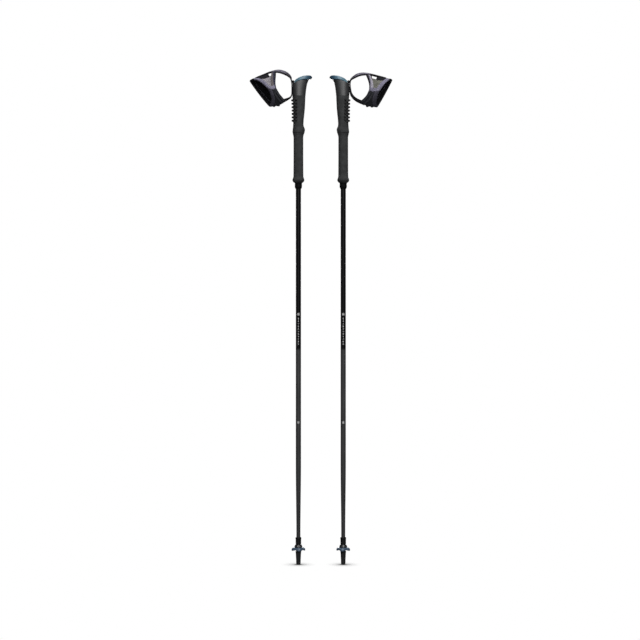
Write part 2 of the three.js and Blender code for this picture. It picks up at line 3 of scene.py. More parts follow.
import bmesh
import bpy
import numpy as np
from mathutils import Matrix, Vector


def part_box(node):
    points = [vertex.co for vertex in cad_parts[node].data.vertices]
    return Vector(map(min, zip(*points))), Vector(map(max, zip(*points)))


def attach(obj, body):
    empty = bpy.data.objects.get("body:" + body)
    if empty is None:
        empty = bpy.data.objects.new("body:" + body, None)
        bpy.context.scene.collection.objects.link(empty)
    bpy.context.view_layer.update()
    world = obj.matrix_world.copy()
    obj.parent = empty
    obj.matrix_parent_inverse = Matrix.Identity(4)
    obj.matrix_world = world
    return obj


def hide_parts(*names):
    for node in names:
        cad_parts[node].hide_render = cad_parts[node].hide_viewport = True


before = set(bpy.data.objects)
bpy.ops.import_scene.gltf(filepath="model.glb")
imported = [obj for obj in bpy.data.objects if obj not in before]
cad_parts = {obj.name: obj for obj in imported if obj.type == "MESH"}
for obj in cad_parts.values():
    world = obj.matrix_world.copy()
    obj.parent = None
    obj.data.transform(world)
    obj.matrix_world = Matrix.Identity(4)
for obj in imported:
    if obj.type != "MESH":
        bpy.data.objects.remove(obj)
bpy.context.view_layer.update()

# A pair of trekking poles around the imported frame. Shapes are worked out in millimetres in one
# pole's own terms: reach is the distance from the shaft's axis towards the strap, y and z are
# the frame's. The two poles' hard pieces are mirror images and their straps hang differently, so
# every piece is made once for each side.

MM = 0.001
TURN = 2 * math.pi

# ---------------------------------------------------------------- sizes, in millimetres

SHAFT_RADIUS = 6.4
SHAFT_TIP_RADIUS = 4.9
SHAFT_WALL = 1.2
TAPER_FROM, TAPER_TO = 69.24, 250.0
LACQUER_END = 528.0

NUB_ROWS = 7
NUB_PITCH = 8.3
NUB_FIRST = 1089.0
NUB_HEIGHT = 4.1
NUB_RADIUS = 2.6
NUB_COLUMNS = ((0, 0), (44, -0.5), (69, 0))

FABRIC = 2.0
LINER = 2.2
TAPE_WIDTH = 7.4
WINDOW_TURNS = (40, 82)
SLOT_TURNS = (12, 39)
THIN_TURNS = (40, 70)
THINNEST = 0.3
SEAM_TURNS = (82, 96)
FLAP_TURNS = (98, 172)
WRIST_DEPTH, FRONT_DEPTH = 27.0, 16.0
CUFF_ROWS, CUFF_COLUMNS = 30, 96
SEWN_COLUMNS = 4
SHIFT_SMOOTHINGS = 8

# How each soft strap hangs, as (reach, height) pairs. The cuff's lines run from the wrist to the
# front, and the loop runs over the thumb, down the grip and back to the cuff.
STRAPS = {
    "left": {
        "top": [(117.3, 1187.5), (103, 1194), (88, 1200.4), (73, 1206.6), (58, 1211.2)],
        "bottom": [(69.4, 1123.7), (61, 1124.2), (52, 1126.2), (43, 1130.6), (34, 1136)],
        "loop": [(106, 1194), (96, 1198.4), (84, 1203.2), (71, 1208.6), (60, 1212), (51.6, 1213.6),
                 (44, 1213.4), (34.5, 1210.9), (26.5, 1206.6), (20.5, 1201.2), (17.4, 1195.6),
                 (16.6, 1190), (16.4, 1184), (16, 1178), (15.9, 1168), (15.8, 1158), (15.9, 1152),
                 (17.6, 1147.2), (20.8, 1143.6), (25, 1140.6), (30.6, 1137.2), (37, 1133.6),
                 (44, 1129.4), (51, 1125.2)],
        "shape": [(0, 6.5, 1.4), (0.2, 7, 1.6), (0.3, 9, 6.2), (0.4, 8.6, 7.8), (0.47, 7.5, 7),
                  (0.53, 5.5, 4.4), (0.58, 4, 0.8), (0.72, 4, 0.5), (0.81, 5, 2.8), (0.9, 8.5, 7),
                  (1, 9.5, 7.6)],
        "yoke_widths": (8.5, 12.5), "yoke": "yoke", "mesh": "pale_mesh",
        "rim_set_back": 22.0, "front_set_back": 10.0, "front_sharpness": 3,
        "slot": (0.68, 0.9), "loop_centre": (45, 1172), "band": "dark_band",
    },
    "right": {
        "top": [(118, 1189.4), (103, 1193.3), (88, 1197.3), (72, 1201.4), (57, 1204.9)],
        "bottom": [(82, 1122.3), (72, 1123.2), (62, 1125.2), (52, 1128.7), (42, 1133.6)],
        "loop": [(106, 1193.8), (96, 1196.6), (84, 1199.8), (70, 1203.4), (59, 1205.8), (51, 1206.6),
                 (44, 1206.4), (35, 1204.4), (27.5, 1200.2), (21, 1194.8), (17.4, 1190), (16.5, 1185),
                 (15.9, 1179), (15.85, 1172), (15.85, 1164), (16.4, 1156.6), (18.6, 1150.6),
                 (22.4, 1144.8), (27.4, 1139.8), (34, 1135.2), (42, 1131.4), (52, 1127.2)],
        "shape": [(0, 6.5, 1.4), (0.2, 7, 1.6), (0.3, 9, 5), (0.38, 8.6, 6.6), (0.46, 7, 6.6),
                  (0.52, 5, 4), (0.57, 4.5, 1.5), (0.64, 5, 2.2), (0.72, 6.5, 4.6), (0.82, 8, 6),
                  (0.92, 9, 7), (1, 9.5, 7.6)],
        "yoke_widths": (7.0, 12.5), "yoke": "pale_yoke", "mesh": "mesh",
        "rim_set_back": 13.5, "front_set_back": 15.0, "front_sharpness": 2,
        "slot": (0.55, 0.78), "loop_centre": (45, 1170), "band": "band",
    },
}


# ---------------------------------------------------------------- the two sides

class Side:
    """One pole: its name, its outward direction along X and its axis, read from the frame."""

    def __init__(self, name, outward):
        self.name = name
        self.outward = outward
        low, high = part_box(f"{name}_shaft")
        self.axis = (low[0] + high[0]) / 2
        self.strap = STRAPS[name]
        self.cuff = None

    def place(self, points):
        """(reach, y, z) in millimetres to the frame's metres."""
        placed = np.array(points, float) * MM
        placed[..., 0] = self.axis + self.outward * placed[..., 0]
        return placed

    def range(self, node):
        """A node's lowest and highest z in millimetres."""
        low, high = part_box(f"{self.name}_{node}")
        return low[2] / MM, high[2] / MM


SIDES = (Side("left", -1), Side("right", 1))


# ---------------------------------------------------------------- mesh helpers

def linked(name, data):
    """A new object in the scene."""
    obj = bpy.data.objects.new(name, data)
    bpy.context.collection.objects.link(obj)
    return obj


def smooth_shaded(mesh, sharp):
    mesh.shade_smooth()
    mesh.set_sharp_from_angle(angle=math.radians(sharp))


def finished_object(side, name, points, faces, uvs=None, sharp=35, weld=False):
    """A mesh object from local points, its normals made to face out."""
    mesh = bpy.data.meshes.new(f"{side.name}_{name}")
    mesh.from_pydata(side.place(points).tolist(), [], faces)
    if uvs is not None:
        loops = np.zeros(len(mesh.loops), int)
        mesh.loops.foreach_get("vertex_index", loops)
        mesh.uv_layers.new(name="Cloth").data.foreach_set("uv", uvs[loops].ravel())
    work = bmesh.new()
    work.from_mesh(mesh)
    if weld:
        bmesh.ops.remove_doubles(work, verts=work.verts, dist=1e-7)
        bmesh.ops.dissolve_degenerate(work, edges=work.edges, dist=1e-8)
    bmesh.ops.recalc_face_normals(work, faces=work.faces)
    work.to_mesh(mesh)
    work.free()
    smooth_shaded(mesh, sharp)
    return linked(mesh.name, mesh)


def grid_faces(rows, columns, wrap_rows=False, wrap_columns=True):
    """Quads over a grid of points, joined round each way that wraps."""
    corner = lambda i, j: i % rows * columns + j % columns
    return [(corner(i, j), corner(i, j + 1), corner(i + 1, j + 1), corner(i + 1, j))
            for i in range(rows - (not wrap_rows)) for j in range(columns - (not wrap_columns))]


def capped_faces(rows, around):
    """Faces of a tube of rings with a lid on each end."""
    last = (rows - 1) * around
    lids = [tuple(range(around - 1, -1, -1)), tuple(range(last, last + around))]
    return grid_faces(rows, around) + lids


def merged(parts):
    """Several lists of points and faces as one."""
    points, faces = [], []
    for part_points, part_faces in parts:
        faces += [tuple(len(points) + i for i in face) for face in part_faces]
        points.extend(part_points)
    return points, faces


def angles_around(count):
    return np.arange(count) * TURN / count


def ring(radius, angles, z):
    """Points round the axis; the radius and the height may change with the angle."""
    return np.stack(np.broadcast_arrays(radius * np.cos(angles), radius * np.sin(angles), z), -1)


def unit(vectors):
    return vectors / np.linalg.norm(vectors, axis=-1, keepdims=True)


def distances(points):
    """How far along a line, or down a grid, each of its points is."""
    steps = np.linalg.norm(np.diff(points, axis=0), axis=-1)
    return np.concatenate([np.zeros_like(steps[:1]), np.cumsum(steps, 0)])


def softened(profile, radius, closed=True, steps=4):
    """The profile with each corner turned into a short curve."""
    points = [np.array(p, float) for p in profile]
    out = []
    for i, corner in enumerate(points):
        if not closed and i in (0, len(points) - 1):
            out.append(corner)
            continue
        legs = [other - corner for other in (points[i - 1], points[(i + 1) % len(points)])]
        cut = min(radius, *(0.45 * np.linalg.norm(leg) for leg in legs))
        start, end = (corner + unit(leg) * cut for leg in legs)
        for t in np.linspace(0, 1, steps + 1):
            out.append((1 - t) ** 2 * start + 2 * t * (1 - t) * corner + t ** 2 * end)
    return out


def lathe(side, name, profile, around=72, closed=True):
    """A body of revolution about the pole's axis from [radius, z] pairs."""
    points = np.concatenate([ring(r, angles_around(around), z) for r, z in profile])
    faces = grid_faces(len(profile), around, closed)
    return finished_object(side, name, points, faces, weld=not closed)


def cubic(a, b, c, d, f):
    """The smooth value at the share f of the way from b to c."""
    return 0.5 * (2 * b + (c - a) * f + (2 * a - 5 * b + 4 * c - d) * f ** 2
                  + (3 * b - a - 3 * c + d) * f ** 3)


def smooth_line(points, t):
    """A Catmull-Rom curve through the points, t from 0 to 1 along their list."""
    points = np.array(points, float)
    t = np.clip(np.asarray(t, float), 0, 1) * (len(points) - 1)
    i = np.minimum(t.astype(int), len(points) - 2)
    padded = np.vstack([2 * points[0] - points[1], points, 2 * points[-1] - points[-2]])
    return cubic(*(padded[i + k] for k in range(4)), (t - i)[..., None])


def even_line(points, count):
    """count points at even distances along the smooth curve, and the distance of each."""
    dense = smooth_line(points, np.linspace(0, 1, 60 * len(points)))
    lengths = distances(dense)
    wanted = np.linspace(0, lengths[-1], count)
    return np.stack([np.interp(wanted, lengths, column) for column in dense.T], 1), wanted


def smoothed(values, width):
    """A running mean along the list, its ends kept."""
    kernel = np.ones(2 * width + 1) / (2 * width + 1)
    return np.convolve(np.pad(values, width, mode="edge"), kernel, mode="valid")


def thick_faces(rows, columns, keep, wrap=False):
    """Faces of a slab between an outer and an inner grid, where keep says which cells exist."""
    size = rows * columns
    keep = keep[:, :columns if wrap else columns - 1]
    held = np.pad(keep, 1)
    if wrap:
        held[:, 0], held[:, -1] = held[:, -2], held[:, 1]
    faces = []
    for i, j in np.argwhere(keep).tolist():
        a, b = i * columns + j, i * columns + (j + 1) % columns
        c, d = b + columns, a + columns
        faces += [(a, b, c, d), (d + size, c + size, b + size, a + size)]
        for up, over, start, end in ((-1, 0, a, b), (1, 0, c, d), (0, -1, d, a), (0, 1, b, c)):
            if not held[i + 1 + up, j + 1 + over]:
                faces.append((end, start, start + size, end + size))
    return faces


# ---------------------------------------------------------------- materials

class Shader:
    """A Principled material whose colour, roughness and bump come from small node trees."""

    def __init__(self, name, roughness=0.5, **sockets):
        self.material = bpy.data.materials.new(name)
        self.material.use_nodes = True
        self.tree = self.material.node_tree
        self.surface = self.tree.nodes["Principled BSDF"]
        self.coordinates = self.node("TexCoord").outputs
        self.normal = None
        for socket, value in {"Roughness": roughness, **sockets}.items():
            self.surface.inputs[socket.replace("_", " ")].default_value = value

    def link(self, output, node, socket):
        self.tree.links.new(output, node.inputs[socket])

    def node(self, kind, inputs=(), **settings):
        """A new node, whose inputs are each a plain value or another node's output."""
        made = self.tree.nodes.new(f"ShaderNode{kind}")
        for key, value in settings.items():
            setattr(made, key, value)
        for socket, value in dict(inputs).items():
            if isinstance(value, bpy.types.NodeSocket):
                self.link(value, made, socket)
            else:
                made.inputs[socket].default_value = value
        return made

    def noise(self, size, detail=4, stretch=(1, 1, 1)):
        """Noise whose blotches are about size metres across."""
        place = self.node("Mapping", {"Vector": self.coordinates["Object"], "Scale": stretch})
        inputs = {"Vector": place.outputs["Vector"], "Scale": 1 / size, "Detail": detail}
        return self.node("TexNoise", inputs).outputs["Fac"]

    def cells(self, size):
        inputs = {"Vector": self.coordinates["Object"], "Scale": 1 / size}
        return self.node("TexVoronoi", inputs).outputs["Distance"]

    def ramp(self, value, stops, smooth=True):
        """Colours along a value, where a plain number is a grey."""
        made = self.node("ValToRGB", {"Fac": value})
        made.color_ramp.interpolation = "EASE" if smooth else "LINEAR"
        elements = made.color_ramp.elements
        while len(elements) < len(stops):
            elements.new(0.5)
        for element, (at, color) in zip(elements, stops):
            element.position = at
            element.color = (*color, 1) if isinstance(color, tuple) else (color, color, color, 1)
        return made.outputs["Color"]

    def shades(self, value, base, *stops):
        """Darker and lighter shades of a colour along a value."""
        return self.ramp(value, [(at, tinted(base, factor)) for at, factor in stops])

    def math(self, operation, a, b=0.0):
        return self.node("Math", {0: a, 1: b}, operation=operation).outputs["Value"]

    def mixed(self, factor, a, b, blend="MIX"):
        made = self.node("Mix", {"Factor": factor}, data_type="RGBA", blend_type=blend)
        for socket, value in zip([s for s in made.inputs if s.type == "RGBA"], (a, b)):
            self.tree.links.new(value, socket)
        return next(s for s in made.outputs if s.type == "RGBA")

    def spread(self, value, start, end, low=0.0, high=1.0):
        """The value, stretched from the range start to end to the range low to high."""
        inputs = {"Value": value, "From Min": start, "From Max": end, "To Min": low, "To Max": high}
        return self.node("MapRange", inputs).outputs["Result"]

    def color(self, output):
        self.link(output, self.surface, "Base Color")

    def roughness(self, output, low, high):
        self.link(self.spread(output, 0, 1, low, high), self.surface, "Roughness")

    def bump(self, output, depth, strength):
        """Adds relief of depth metres on top of what is there."""
        made = self.node("Bump", {"Strength": strength, "Distance": depth, "Height": output})
        if self.normal is not None:
            self.link(self.normal, made, "Normal")
        self.normal = made.outputs["Normal"]
        self.link(self.normal, self.surface, "Normal")

    def axis(self, name, where="Object"):
        return self.node("SeparateXYZ", {"Vector": self.coordinates[where]}).outputs[name]

    def weave(self, thread):
        """A plain weave's height from 0 to 1, thread metres between threads."""
        waves = []
        for axis in ("X", "Y"):
            phase = self.math("MULTIPLY", self.axis(axis, "UV"), math.pi / thread)
            waves.append(self.math("ABSOLUTE", self.math("SINE", phase)))
        return self.math("MULTIPLY", *waves)


def tinted(color, factor):
    return tuple(c * factor for c in color)


def foam_material():
    """Fine-celled grey foam, with painted shade on the nubs, darkest on their slopes."""
    shader = Shader("eva_foam", 0.86, Specular_IOR_Level=0.14)
    plain = shader.shades(shader.noise(0.012, 6), (0.0265, 0.0275, 0.0282), (0.3, 0.8), (0.72, 1.25))
    raised = shader.node("Attribute", attribute_name="nub").outputs["Fac"]
    # Painted shade: the nubs' relief darkens the foam's colour, most on the nubs' slopes.
    darker = shader.ramp(raised, [(0.05, 1), (0.45, 0.3), (1, 0.5)])
    shader.color(shader.mixed(1.0, plain, darker, "MULTIPLY"))
    shader.bump(shader.cells(0.0011), 0.00014, 0.6)
    shader.bump(shader.noise(0.0004, 3), 0.00008, 0.6)
    shader.roughness(shader.noise(0.006), 0.78, 0.94)
    return shader.material


def plastic_material(name, base, low, high, specular, shades=(0.8, 1.25), blotch=0.015, wear=0.004,
                     grain=(0.0005, 2, 0.00004, 0.45)):
    """Moulded plastic or rubber with a fine grain, its roughness between low and high."""
    shader = Shader(name, low, Specular_IOR_Level=specular)
    shader.color(shader.shades(shader.noise(blotch, 5), base, (0.3, shades[0]), (0.75, shades[1])))
    size, detail, depth, strength = grain
    shader.bump(shader.noise(size, detail), depth, strength)
    shader.roughness(shader.noise(wear, 5), low, high)
    return shader.material


def cap_material():
    """Steel blue towards the strap, navy towards the beak."""
    shader = Shader("blue_cap", 0.36, Specular_IOR_Level=0.4, Coat_Weight=0.15, Coat_Roughness=0.3)
    outwards = shader.spread(shader.math("ABSOLUTE", shader.axis("X")), 0.0205, 0.066)
    tone = shader.ramp(outwards, [
        (0.0, (0.004, 0.009, 0.018)), (0.16, (0.012, 0.036, 0.06)), (0.4, (0.045, 0.1, 0.145)),
        (0.75, (0.08, 0.155, 0.2)), (1.0, (0.095, 0.175, 0.215)),
    ])
    fine = shader.ramp(shader.noise(0.006, 6), [(0.3, 0.82), (0.7, 1.1)])
    shader.color(shader.mixed(1.0, tone, fine, "MULTIPLY"))
    shader.bump(shader.noise(0.0005, 2), 0.00004, 0.5)
    shader.roughness(shader.noise(0.005, 5), 0.34, 0.5)
    return shader.material


def carbon_material():
    """Gloss black above the lacquer's end and dark grey below it."""
    shader = Shader("carbon_shaft", 0.2)
    streaks = shader.noise(0.0016, 5, (1, 1, 0.03))
    black = shader.ramp(streaks, [(0.3, (0.0016, 0.0016, 0.002)), (0.75, (0.004, 0.004, 0.0046))])
    grey = shader.ramp(streaks, [(0.3, (0.021, 0.0212, 0.0222)), (0.75, (0.038, 0.0385, 0.0395))])
    above = shader.spread(shader.axis("Z"), (LACQUER_END - 3) * MM, (LACQUER_END + 3) * MM)
    shader.color(shader.mixed(above, grey, black))
    shader.roughness(above, 0.5, 0.36)
    shader.link(shader.spread(above, 0, 1, 0.2, 0.07), shader.surface, "Specular IOR Level")
    shader.bump(streaks, 0.00003, 0.5)
    return shader.material


def basket_material():
    """Slate blue, with a painted highlight along its edges and painted shade in its hollows."""
    shader = Shader("basket_blue", 0.35, Specular_IOR_Level=0.7)
    edges = shader.node("NewGeometry").outputs["Pointiness"]
    # Painted light: pointiness lightens the convex edges as a highlight and darkens the hollows as
    # shade.
    shader.color(shader.shades(edges, (0.042, 0.07, 0.11), (0.46, 0.7), (0.53, 1.15), (0.6, 2.2)))
    shader.bump(shader.noise(0.0006, 2), 0.00004, 0.5)
    shader.roughness(shader.noise(0.004, 5), 0.3, 0.46)
    return shader.material


def tip_material():
    """Black rubber with a little grey dust."""
    base = (0.012, 0.0125, 0.0135)
    shader = Shader("tip_rubber", 0.7, Specular_IOR_Level=0.2)
    shader.color(shader.ramp(shader.noise(0.004, 6), [
        (0.35, tinted(base, 0.8)), (0.6, tinted(base, 1.3)), (0.85, (0.035, 0.034, 0.032))]))
    shader.bump(shader.noise(0.0005, 3), 0.00007, 0.6)
    shader.roughness(shader.noise(0.003, 4), 0.55, 0.82)
    return shader.material


def cloth_material(name, base, thread=0.0007, depth=0.00022, sheen=0.2, light=1.4):
    """Woven cloth with threads thread metres apart and painted shade in its weave and folds."""
    shader = Shader(name, 0.85, Specular_IOR_Level=0.15, Sheen_Weight=sheen, Sheen_Roughness=0.45,
                    Sheen_Tint=(*tinted(base, 4), 1))
    weave = shader.weave(thread)
    folds = shader.noise(0.009, 5)
    # Painted shade and painted light: weave hollows and fold troughs take the darker shades, their
    # tops the lighter.
    shader.color(shader.mixed(weave, shader.shades(folds, base, (0.25, 0.5), (0.8, 0.8)),
                              shader.shades(folds, base, (0.25, 0.85), (0.8, light))))
    shader.bump(weave, depth, 0.8)
    shader.bump(folds, 0.0004, 0.35)
    shader.roughness(shader.noise(0.002, 4), 0.75, 0.95)
    return shader.material


def webbing_material():
    """Lavender-grey webbing with a dark crest and edges, black where it narrows and underneath."""
    shader = Shader("webbing", 0.8, Specular_IOR_Level=0.15)
    along, across = shader.axis("X", "UV"), shader.axis("Y", "UV")
    off_middle = shader.math("ABSOLUTE", shader.math("SUBTRACT", across, 0.5))
    tone = shader.ramp(shader.math("MULTIPLY", off_middle, 2.0), [
        (0.0, (0.02, 0.018, 0.02)), (0.44, (0.025, 0.022, 0.027)), (0.52, (0.13, 0.12, 0.165)),
        (0.63, (0.13, 0.12, 0.165)), (0.67, (0.03, 0.027, 0.038)), (0.73, (0.03, 0.027, 0.038)),
        (0.77, (0.165, 0.155, 0.195)), (0.88, (0.14, 0.13, 0.165)), (0.93, (0.02, 0.02, 0.026)),
        (1.0, (0.006, 0.006, 0.009)),
    ], smooth=False)
    fade = shader.ramp(shader.spread(along, 0.0, 0.19), [
        (0, (0.25, 0.24, 0.2)), (0.17, (0.3, 0.29, 0.25)), (0.26, 1), (0.38, 0.95), (0.47, 0.3),
        (0.55, 0.1), (1, 0.08),
    ])
    dirt = shader.ramp(shader.noise(0.006, 6), [(0.3, 0.7), (0.75, 1.15)])
    shader.color(shader.mixed(1.0, shader.mixed(1.0, tone, fade, "MULTIPLY"), dirt, "MULTIPLY"))
    ribs = shader.math("SINE", shader.math("MULTIPLY", along, TURN / 0.0016))
    twill = shader.math("SINE", shader.math("MULTIPLY", across, TURN / 0.09))
    shader.bump(shader.math("MULTIPLY", ribs, twill), 0.0001, 0.6)
    shader.roughness(shader.noise(0.003), 0.7, 0.9)
    return shader.material


def metal_material(name, base, roughness=0.3):
    shader = Shader(name, roughness, Metallic=1.0)
    marks = shader.noise(0.0012, 5, (1, 1, 8))
    shader.color(shader.shades(marks, base, (0.3, 0.8), (0.75, 1.1)))
    shader.bump(marks, 0.00002, 0.5)
    shader.roughness(marks, roughness * 0.8, roughness * 1.5)
    return shader.material


def mark_material():
    shader = Shader("pale_print", 0.5)
    shader.color(shader.ramp(shader.noise(0.002, 5), [(0.3, 0.22), (0.8, 0.4)]))
    shader.bump(shader.noise(0.0005, 2), 0.00002, 0.4)
    return shader.material


LAVENDER = (0.178, 0.169, 0.228)
TRIM = (0.0008, 0.00015, 0.1, 1.25)

# Each cloth's name and colour, then its threads' spacing and depth, its sheen and the lightest shade
# of its painted light.
CLOTHS = {
    "shell": ("black_fabric", (0.008, 0.008, 0.0105)),
    "liner": ("liner_fabric", (0.003, 0.003, 0.004), 0.0011, 0.0003, 0.0),
    "flap": ("loop_fabric", (0.013, 0.0135, 0.0165), 0.0009, 0.0003, 0.9, 1.9),
    "tape": ("grey_trim", LAVENDER, *TRIM),
    # Painted shade: the lavender tape, darkened for the cuff's lower side.
    "dim_tape": ("dim_trim", tinted(LAVENDER, 0.24), *TRIM),
    "band": ("band_trim", tinted(LAVENDER, 0.7), *TRIM),
    "dark_band": ("dark_trim", (0.03, 0.03, 0.055), *TRIM),
    "yoke": ("yoke_fabric", (0.1, 0.088, 0.092), 0.0007, 0.00015, 0.1, 1.35),
    "pale_yoke": ("pale_yoke_fabric", (0.29, 0.275, 0.32), 0.0007, 0.00015, 0.1, 1.2),
    "mesh": ("mesh_fabric", (0.15, 0.148, 0.128), 0.0005, 0.0001, 0.1, 1.3),
    "pale_mesh": ("pale_mesh_fabric", (0.27, 0.255, 0.275), 0.0005, 0.0001, 0.1, 1.2),
    "thread": ("thread", (0.012, 0.012, 0.018), 0.0004, 0.00005),
    "dim_thread": ("dim_thread", (0.13, 0.13, 0.17), 0.0004, 0.00005),
}

# Each plastic's name and colour, then its lowest and highest roughness and its specular level.
PLASTICS = {
    "head": ("grip_rubber", (0.009, 0.0095, 0.0105), 0.5, 0.6, 0.75, (0.7, 1.4), 0.02, 0.009,
             (0.0006, 3, 0.00005, 0.4)),
    "plastic": ("black_plastic", (0.0045, 0.0047, 0.0052), 0.48, 0.62, 0.14),
    "gloss_plastic": ("gloss_black_plastic", (0.006, 0.006, 0.0065), 0.3, 0.42, 0.7),
    "dull_plastic": ("dull_black_plastic", (0.002, 0.0022, 0.0026), 0.6, 0.75, 0.08),
}

MATERIALS = {
    "foam": foam_material(), "cap": cap_material(), "carbon": carbon_material(),
    "basket": basket_material(), "tip": tip_material(), "webbing": webbing_material(),
    "mark": mark_material(), "steel": metal_material("steel", (0.5, 0.51, 0.52)),
    "carbide": metal_material("carbide", (0.22, 0.22, 0.23), 0.4),
    **{key: cloth_material(*values) for key, values in CLOTHS.items()},
    **{key: plastic_material(*values) for key, values in PLASTICS.items()},
}


def dress(obj, material, slot, body, *nodes):
    """Gives a piece its material, its body and the nodes it stands for, all of its own side."""
    side = obj.name.split("_")[0]
    obj.data.materials.clear()
    obj.data.materials.append(MATERIALS[material])
    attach(obj, f"{side}_{body}")
    if nodes:
        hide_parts(*(f"{side}_{node}" for node in nodes))
    return obj


# ---------------------------------------------------------------- shaft, collar and foam

def shaft_radius(z):
    t = np.clip((z - TAPER_FROM) / (TAPER_TO - TAPER_FROM), 0, 1)
    return SHAFT_TIP_RADIUS + (SHAFT_RADIUS - SHAFT_TIP_RADIUS) * (3 - 2 * t) * t * t


def make_shaft(side):
    low, high = side.range("shaft")
    heights = [low, *np.arange(60, 260, 10), *np.linspace(270, high - 10, 12), high]
    outside = [(shaft_radius(z), z) for z in heights]
    inside = [(shaft_radius(z) - SHAFT_WALL, z) for z in reversed(heights)]
    obj = lathe(side, "shaft_tube", outside + inside, 48)
    dress(obj, "carbon", "carbon", "pole", "shaft")


# Each tick's height on the shaft, its half-width and its half-height.
MARKS = [
    (614, 2.8, 2.8), *((603 - 6.2 * k, 1.0, 2.1 - 0.5 * (k % 3)) for k in range(11)), (349, 2.4, 2.8),
]
MARK_PROUD, MARK_THICKNESS = 0.05, 0.04


def make_marks(side):
    """Plain pale ticks printed down the front of the shaft."""
    columns, ticks = 7, []
    for middle, half_width, half_height in MARKS:
        radius = shaft_radius(middle) + MARK_PROUD
        angles = np.linspace(-1, 1, columns) * half_width / radius - math.pi / 2
        heights = np.array([[middle - half_height], [middle + half_height]])
        layers = [ring(size, angles, heights) for size in (radius, radius - MARK_THICKNESS)]
        faces = thick_faces(2, columns, np.ones((1, columns), bool))
        ticks.append((np.concatenate(layers).reshape(-1, 3), faces))
    dress(finished_object(side, "shaft_marks", *merged(ticks)), "mark", "carbon", "pole")


def make_collar(side):
    low, high = side.range("grip_collar")
    bore = SHAFT_RADIUS + 0.3
    profile = softened([
        (bore, low), (7.2, low), (8.6, low + 3.2), (8.9, low + 4.4), (8.9, high - 3.4),
        (8.5, high - 3.0), (8.5, high - 2.4), (8.9, high - 2.0), (8.9, high), (bore, high),
    ], 0.7)
    dress(lathe(side, "collar_ring", profile), "dull_plastic", "black_plastic",
          "pole", "grip_collar")


def make_extension(side):
    low, high = side.range("foam_extension")
    profile = softened([
        (9.0, low), (9.6, low), (13.0, low + 2.6), (14.9, low + 6.4), (13.9, low + 10.2),
        (12.3, low + 14.5), (12.1, low + 24), (11.9, 1000), (11.9, high - 9), (12.7, high - 4.5),
        (14.4, high), (9.0, high),
    ], 1.8, steps=6)
    dress(lathe(side, "extension_foam", profile, 96), "foam", "eva_foam",
          "pole", "foam_extension")


# ---------------------------------------------------------------- grip and head

RING_TILT, RING_TILT_TOP = 2.2, 1084.0
GRIP_BORE = 9.0
SEAT_GAP = 0.35
CAP_BACK, CAP_BEAK = -10.2, 33.8
CAP_WIDTHS = (4.6, 8.8, 12.2, 13.7, 14.0, 13.6, 12.3, 9.9, 6.9, 3.4)
BUTTON_BACK = 6.5

# Room for the hook's tongue and post, as ranges of reach, y and height.
HEAD_CUTS = [((3.6, 30), (-3, 3), (1172.7, 1177.7)), ((11.2, 30), (-2, 2), (1176.5, 1195))]

# Height, then half-widths towards the beak, the strap and the sides.
GRIP_STATIONS = np.array([
    (1058.3, 14.9, 13.9, 14.4), (1061, 15.7, 14.4, 14.9), (1065, 16.3, 14.5, 15.0),
    (1069.5, 14.9, 14.0, 14.3), (1074, 12.9, 13.4, 13.4), (1081, 12.4, 12.8, 13.2),
    (1092, 13.1, 12.6, 13.4), (1106, 14.7, 12.6, 13.7), (1120, 16.0, 12.8, 14.1),
    (1135, 16.7, 13.2, 14.3), (1147, 17.2, 14.7, 14.4), (1158, 18.2, 15.2, 14.5),
    (1170, 19.7, 15.2, 14.5), (1180, 21.6, 15.2, 14.4), (1186, 23.8, 15.1, 14.2),
    (1193, 27.6, 14.8, 13.8),
])
SEAT_LINE = [(-10, 1180.6), (-4, 1184.0), (3, 1186.3), (13, 1188.2), (24, 1189.4), (31, 1191.4)]
TOP_LINE = [(-10.2, 1186.6), (-8, 1188.9), (-4, 1192), (3, 1195.4), (12, 1198.4), (22, 1199.9),
            (28, 1199.8), (31.6, 1198.9), (33.8, 1196.9)]


def grip_widths(z):
    """Half-widths towards the beak, the strap and the sides at the heights z."""
    fine = np.linspace(GRIP_STATIONS[0, 0], GRIP_STATIONS[-1, 0], 700)
    wide = [np.interp(fine, GRIP_STATIONS[:, 0], GRIP_STATIONS[:, k]) for k in (1, 2, 3)]
    return [np.interp(z, fine, smoothed(values, 9)) for values in wide]


def grip_point(angle, z):
    """A point on the plain grip; angle 0 is the strap side and half a turn the beak."""
    c, s = np.cos(angle), np.sin(angle)
    tilt = RING_TILT * np.clip((RING_TILT_TOP - z) / 12, 0, 1) * np.clip((z - 1058.3) / 3, 0, 1)
    front, back, side = grip_widths(z + tilt * c)
    reach = np.where(c > 0, back, front) * c
    return np.stack(np.broadcast_arrays(reach, side * s, z), -1)


def nub_relief(angle, z):
    """How far the nubs stand out of the grip, from 0 to 1, in staggered columns."""
    relief = np.zeros(np.broadcast(angle, z).shape)
    around = np.abs((angle + math.pi) % TURN - math.pi)
    for degrees, stagger in NUB_COLUMNS:
        for row in range(NUB_ROWS):
            middle = NUB_FIRST + (row + stagger) * NUB_PITCH
            sideways = (around - math.radians(degrees)) * grip_widths(middle)[1] * 1.1
            far = (sideways ** 2 + 0.85 * (z - middle) ** 2) / NUB_RADIUS ** 2
            relief = np.maximum(relief, np.clip(1 - far ** 1.6, 0, 1) ** 0.42)
    return relief


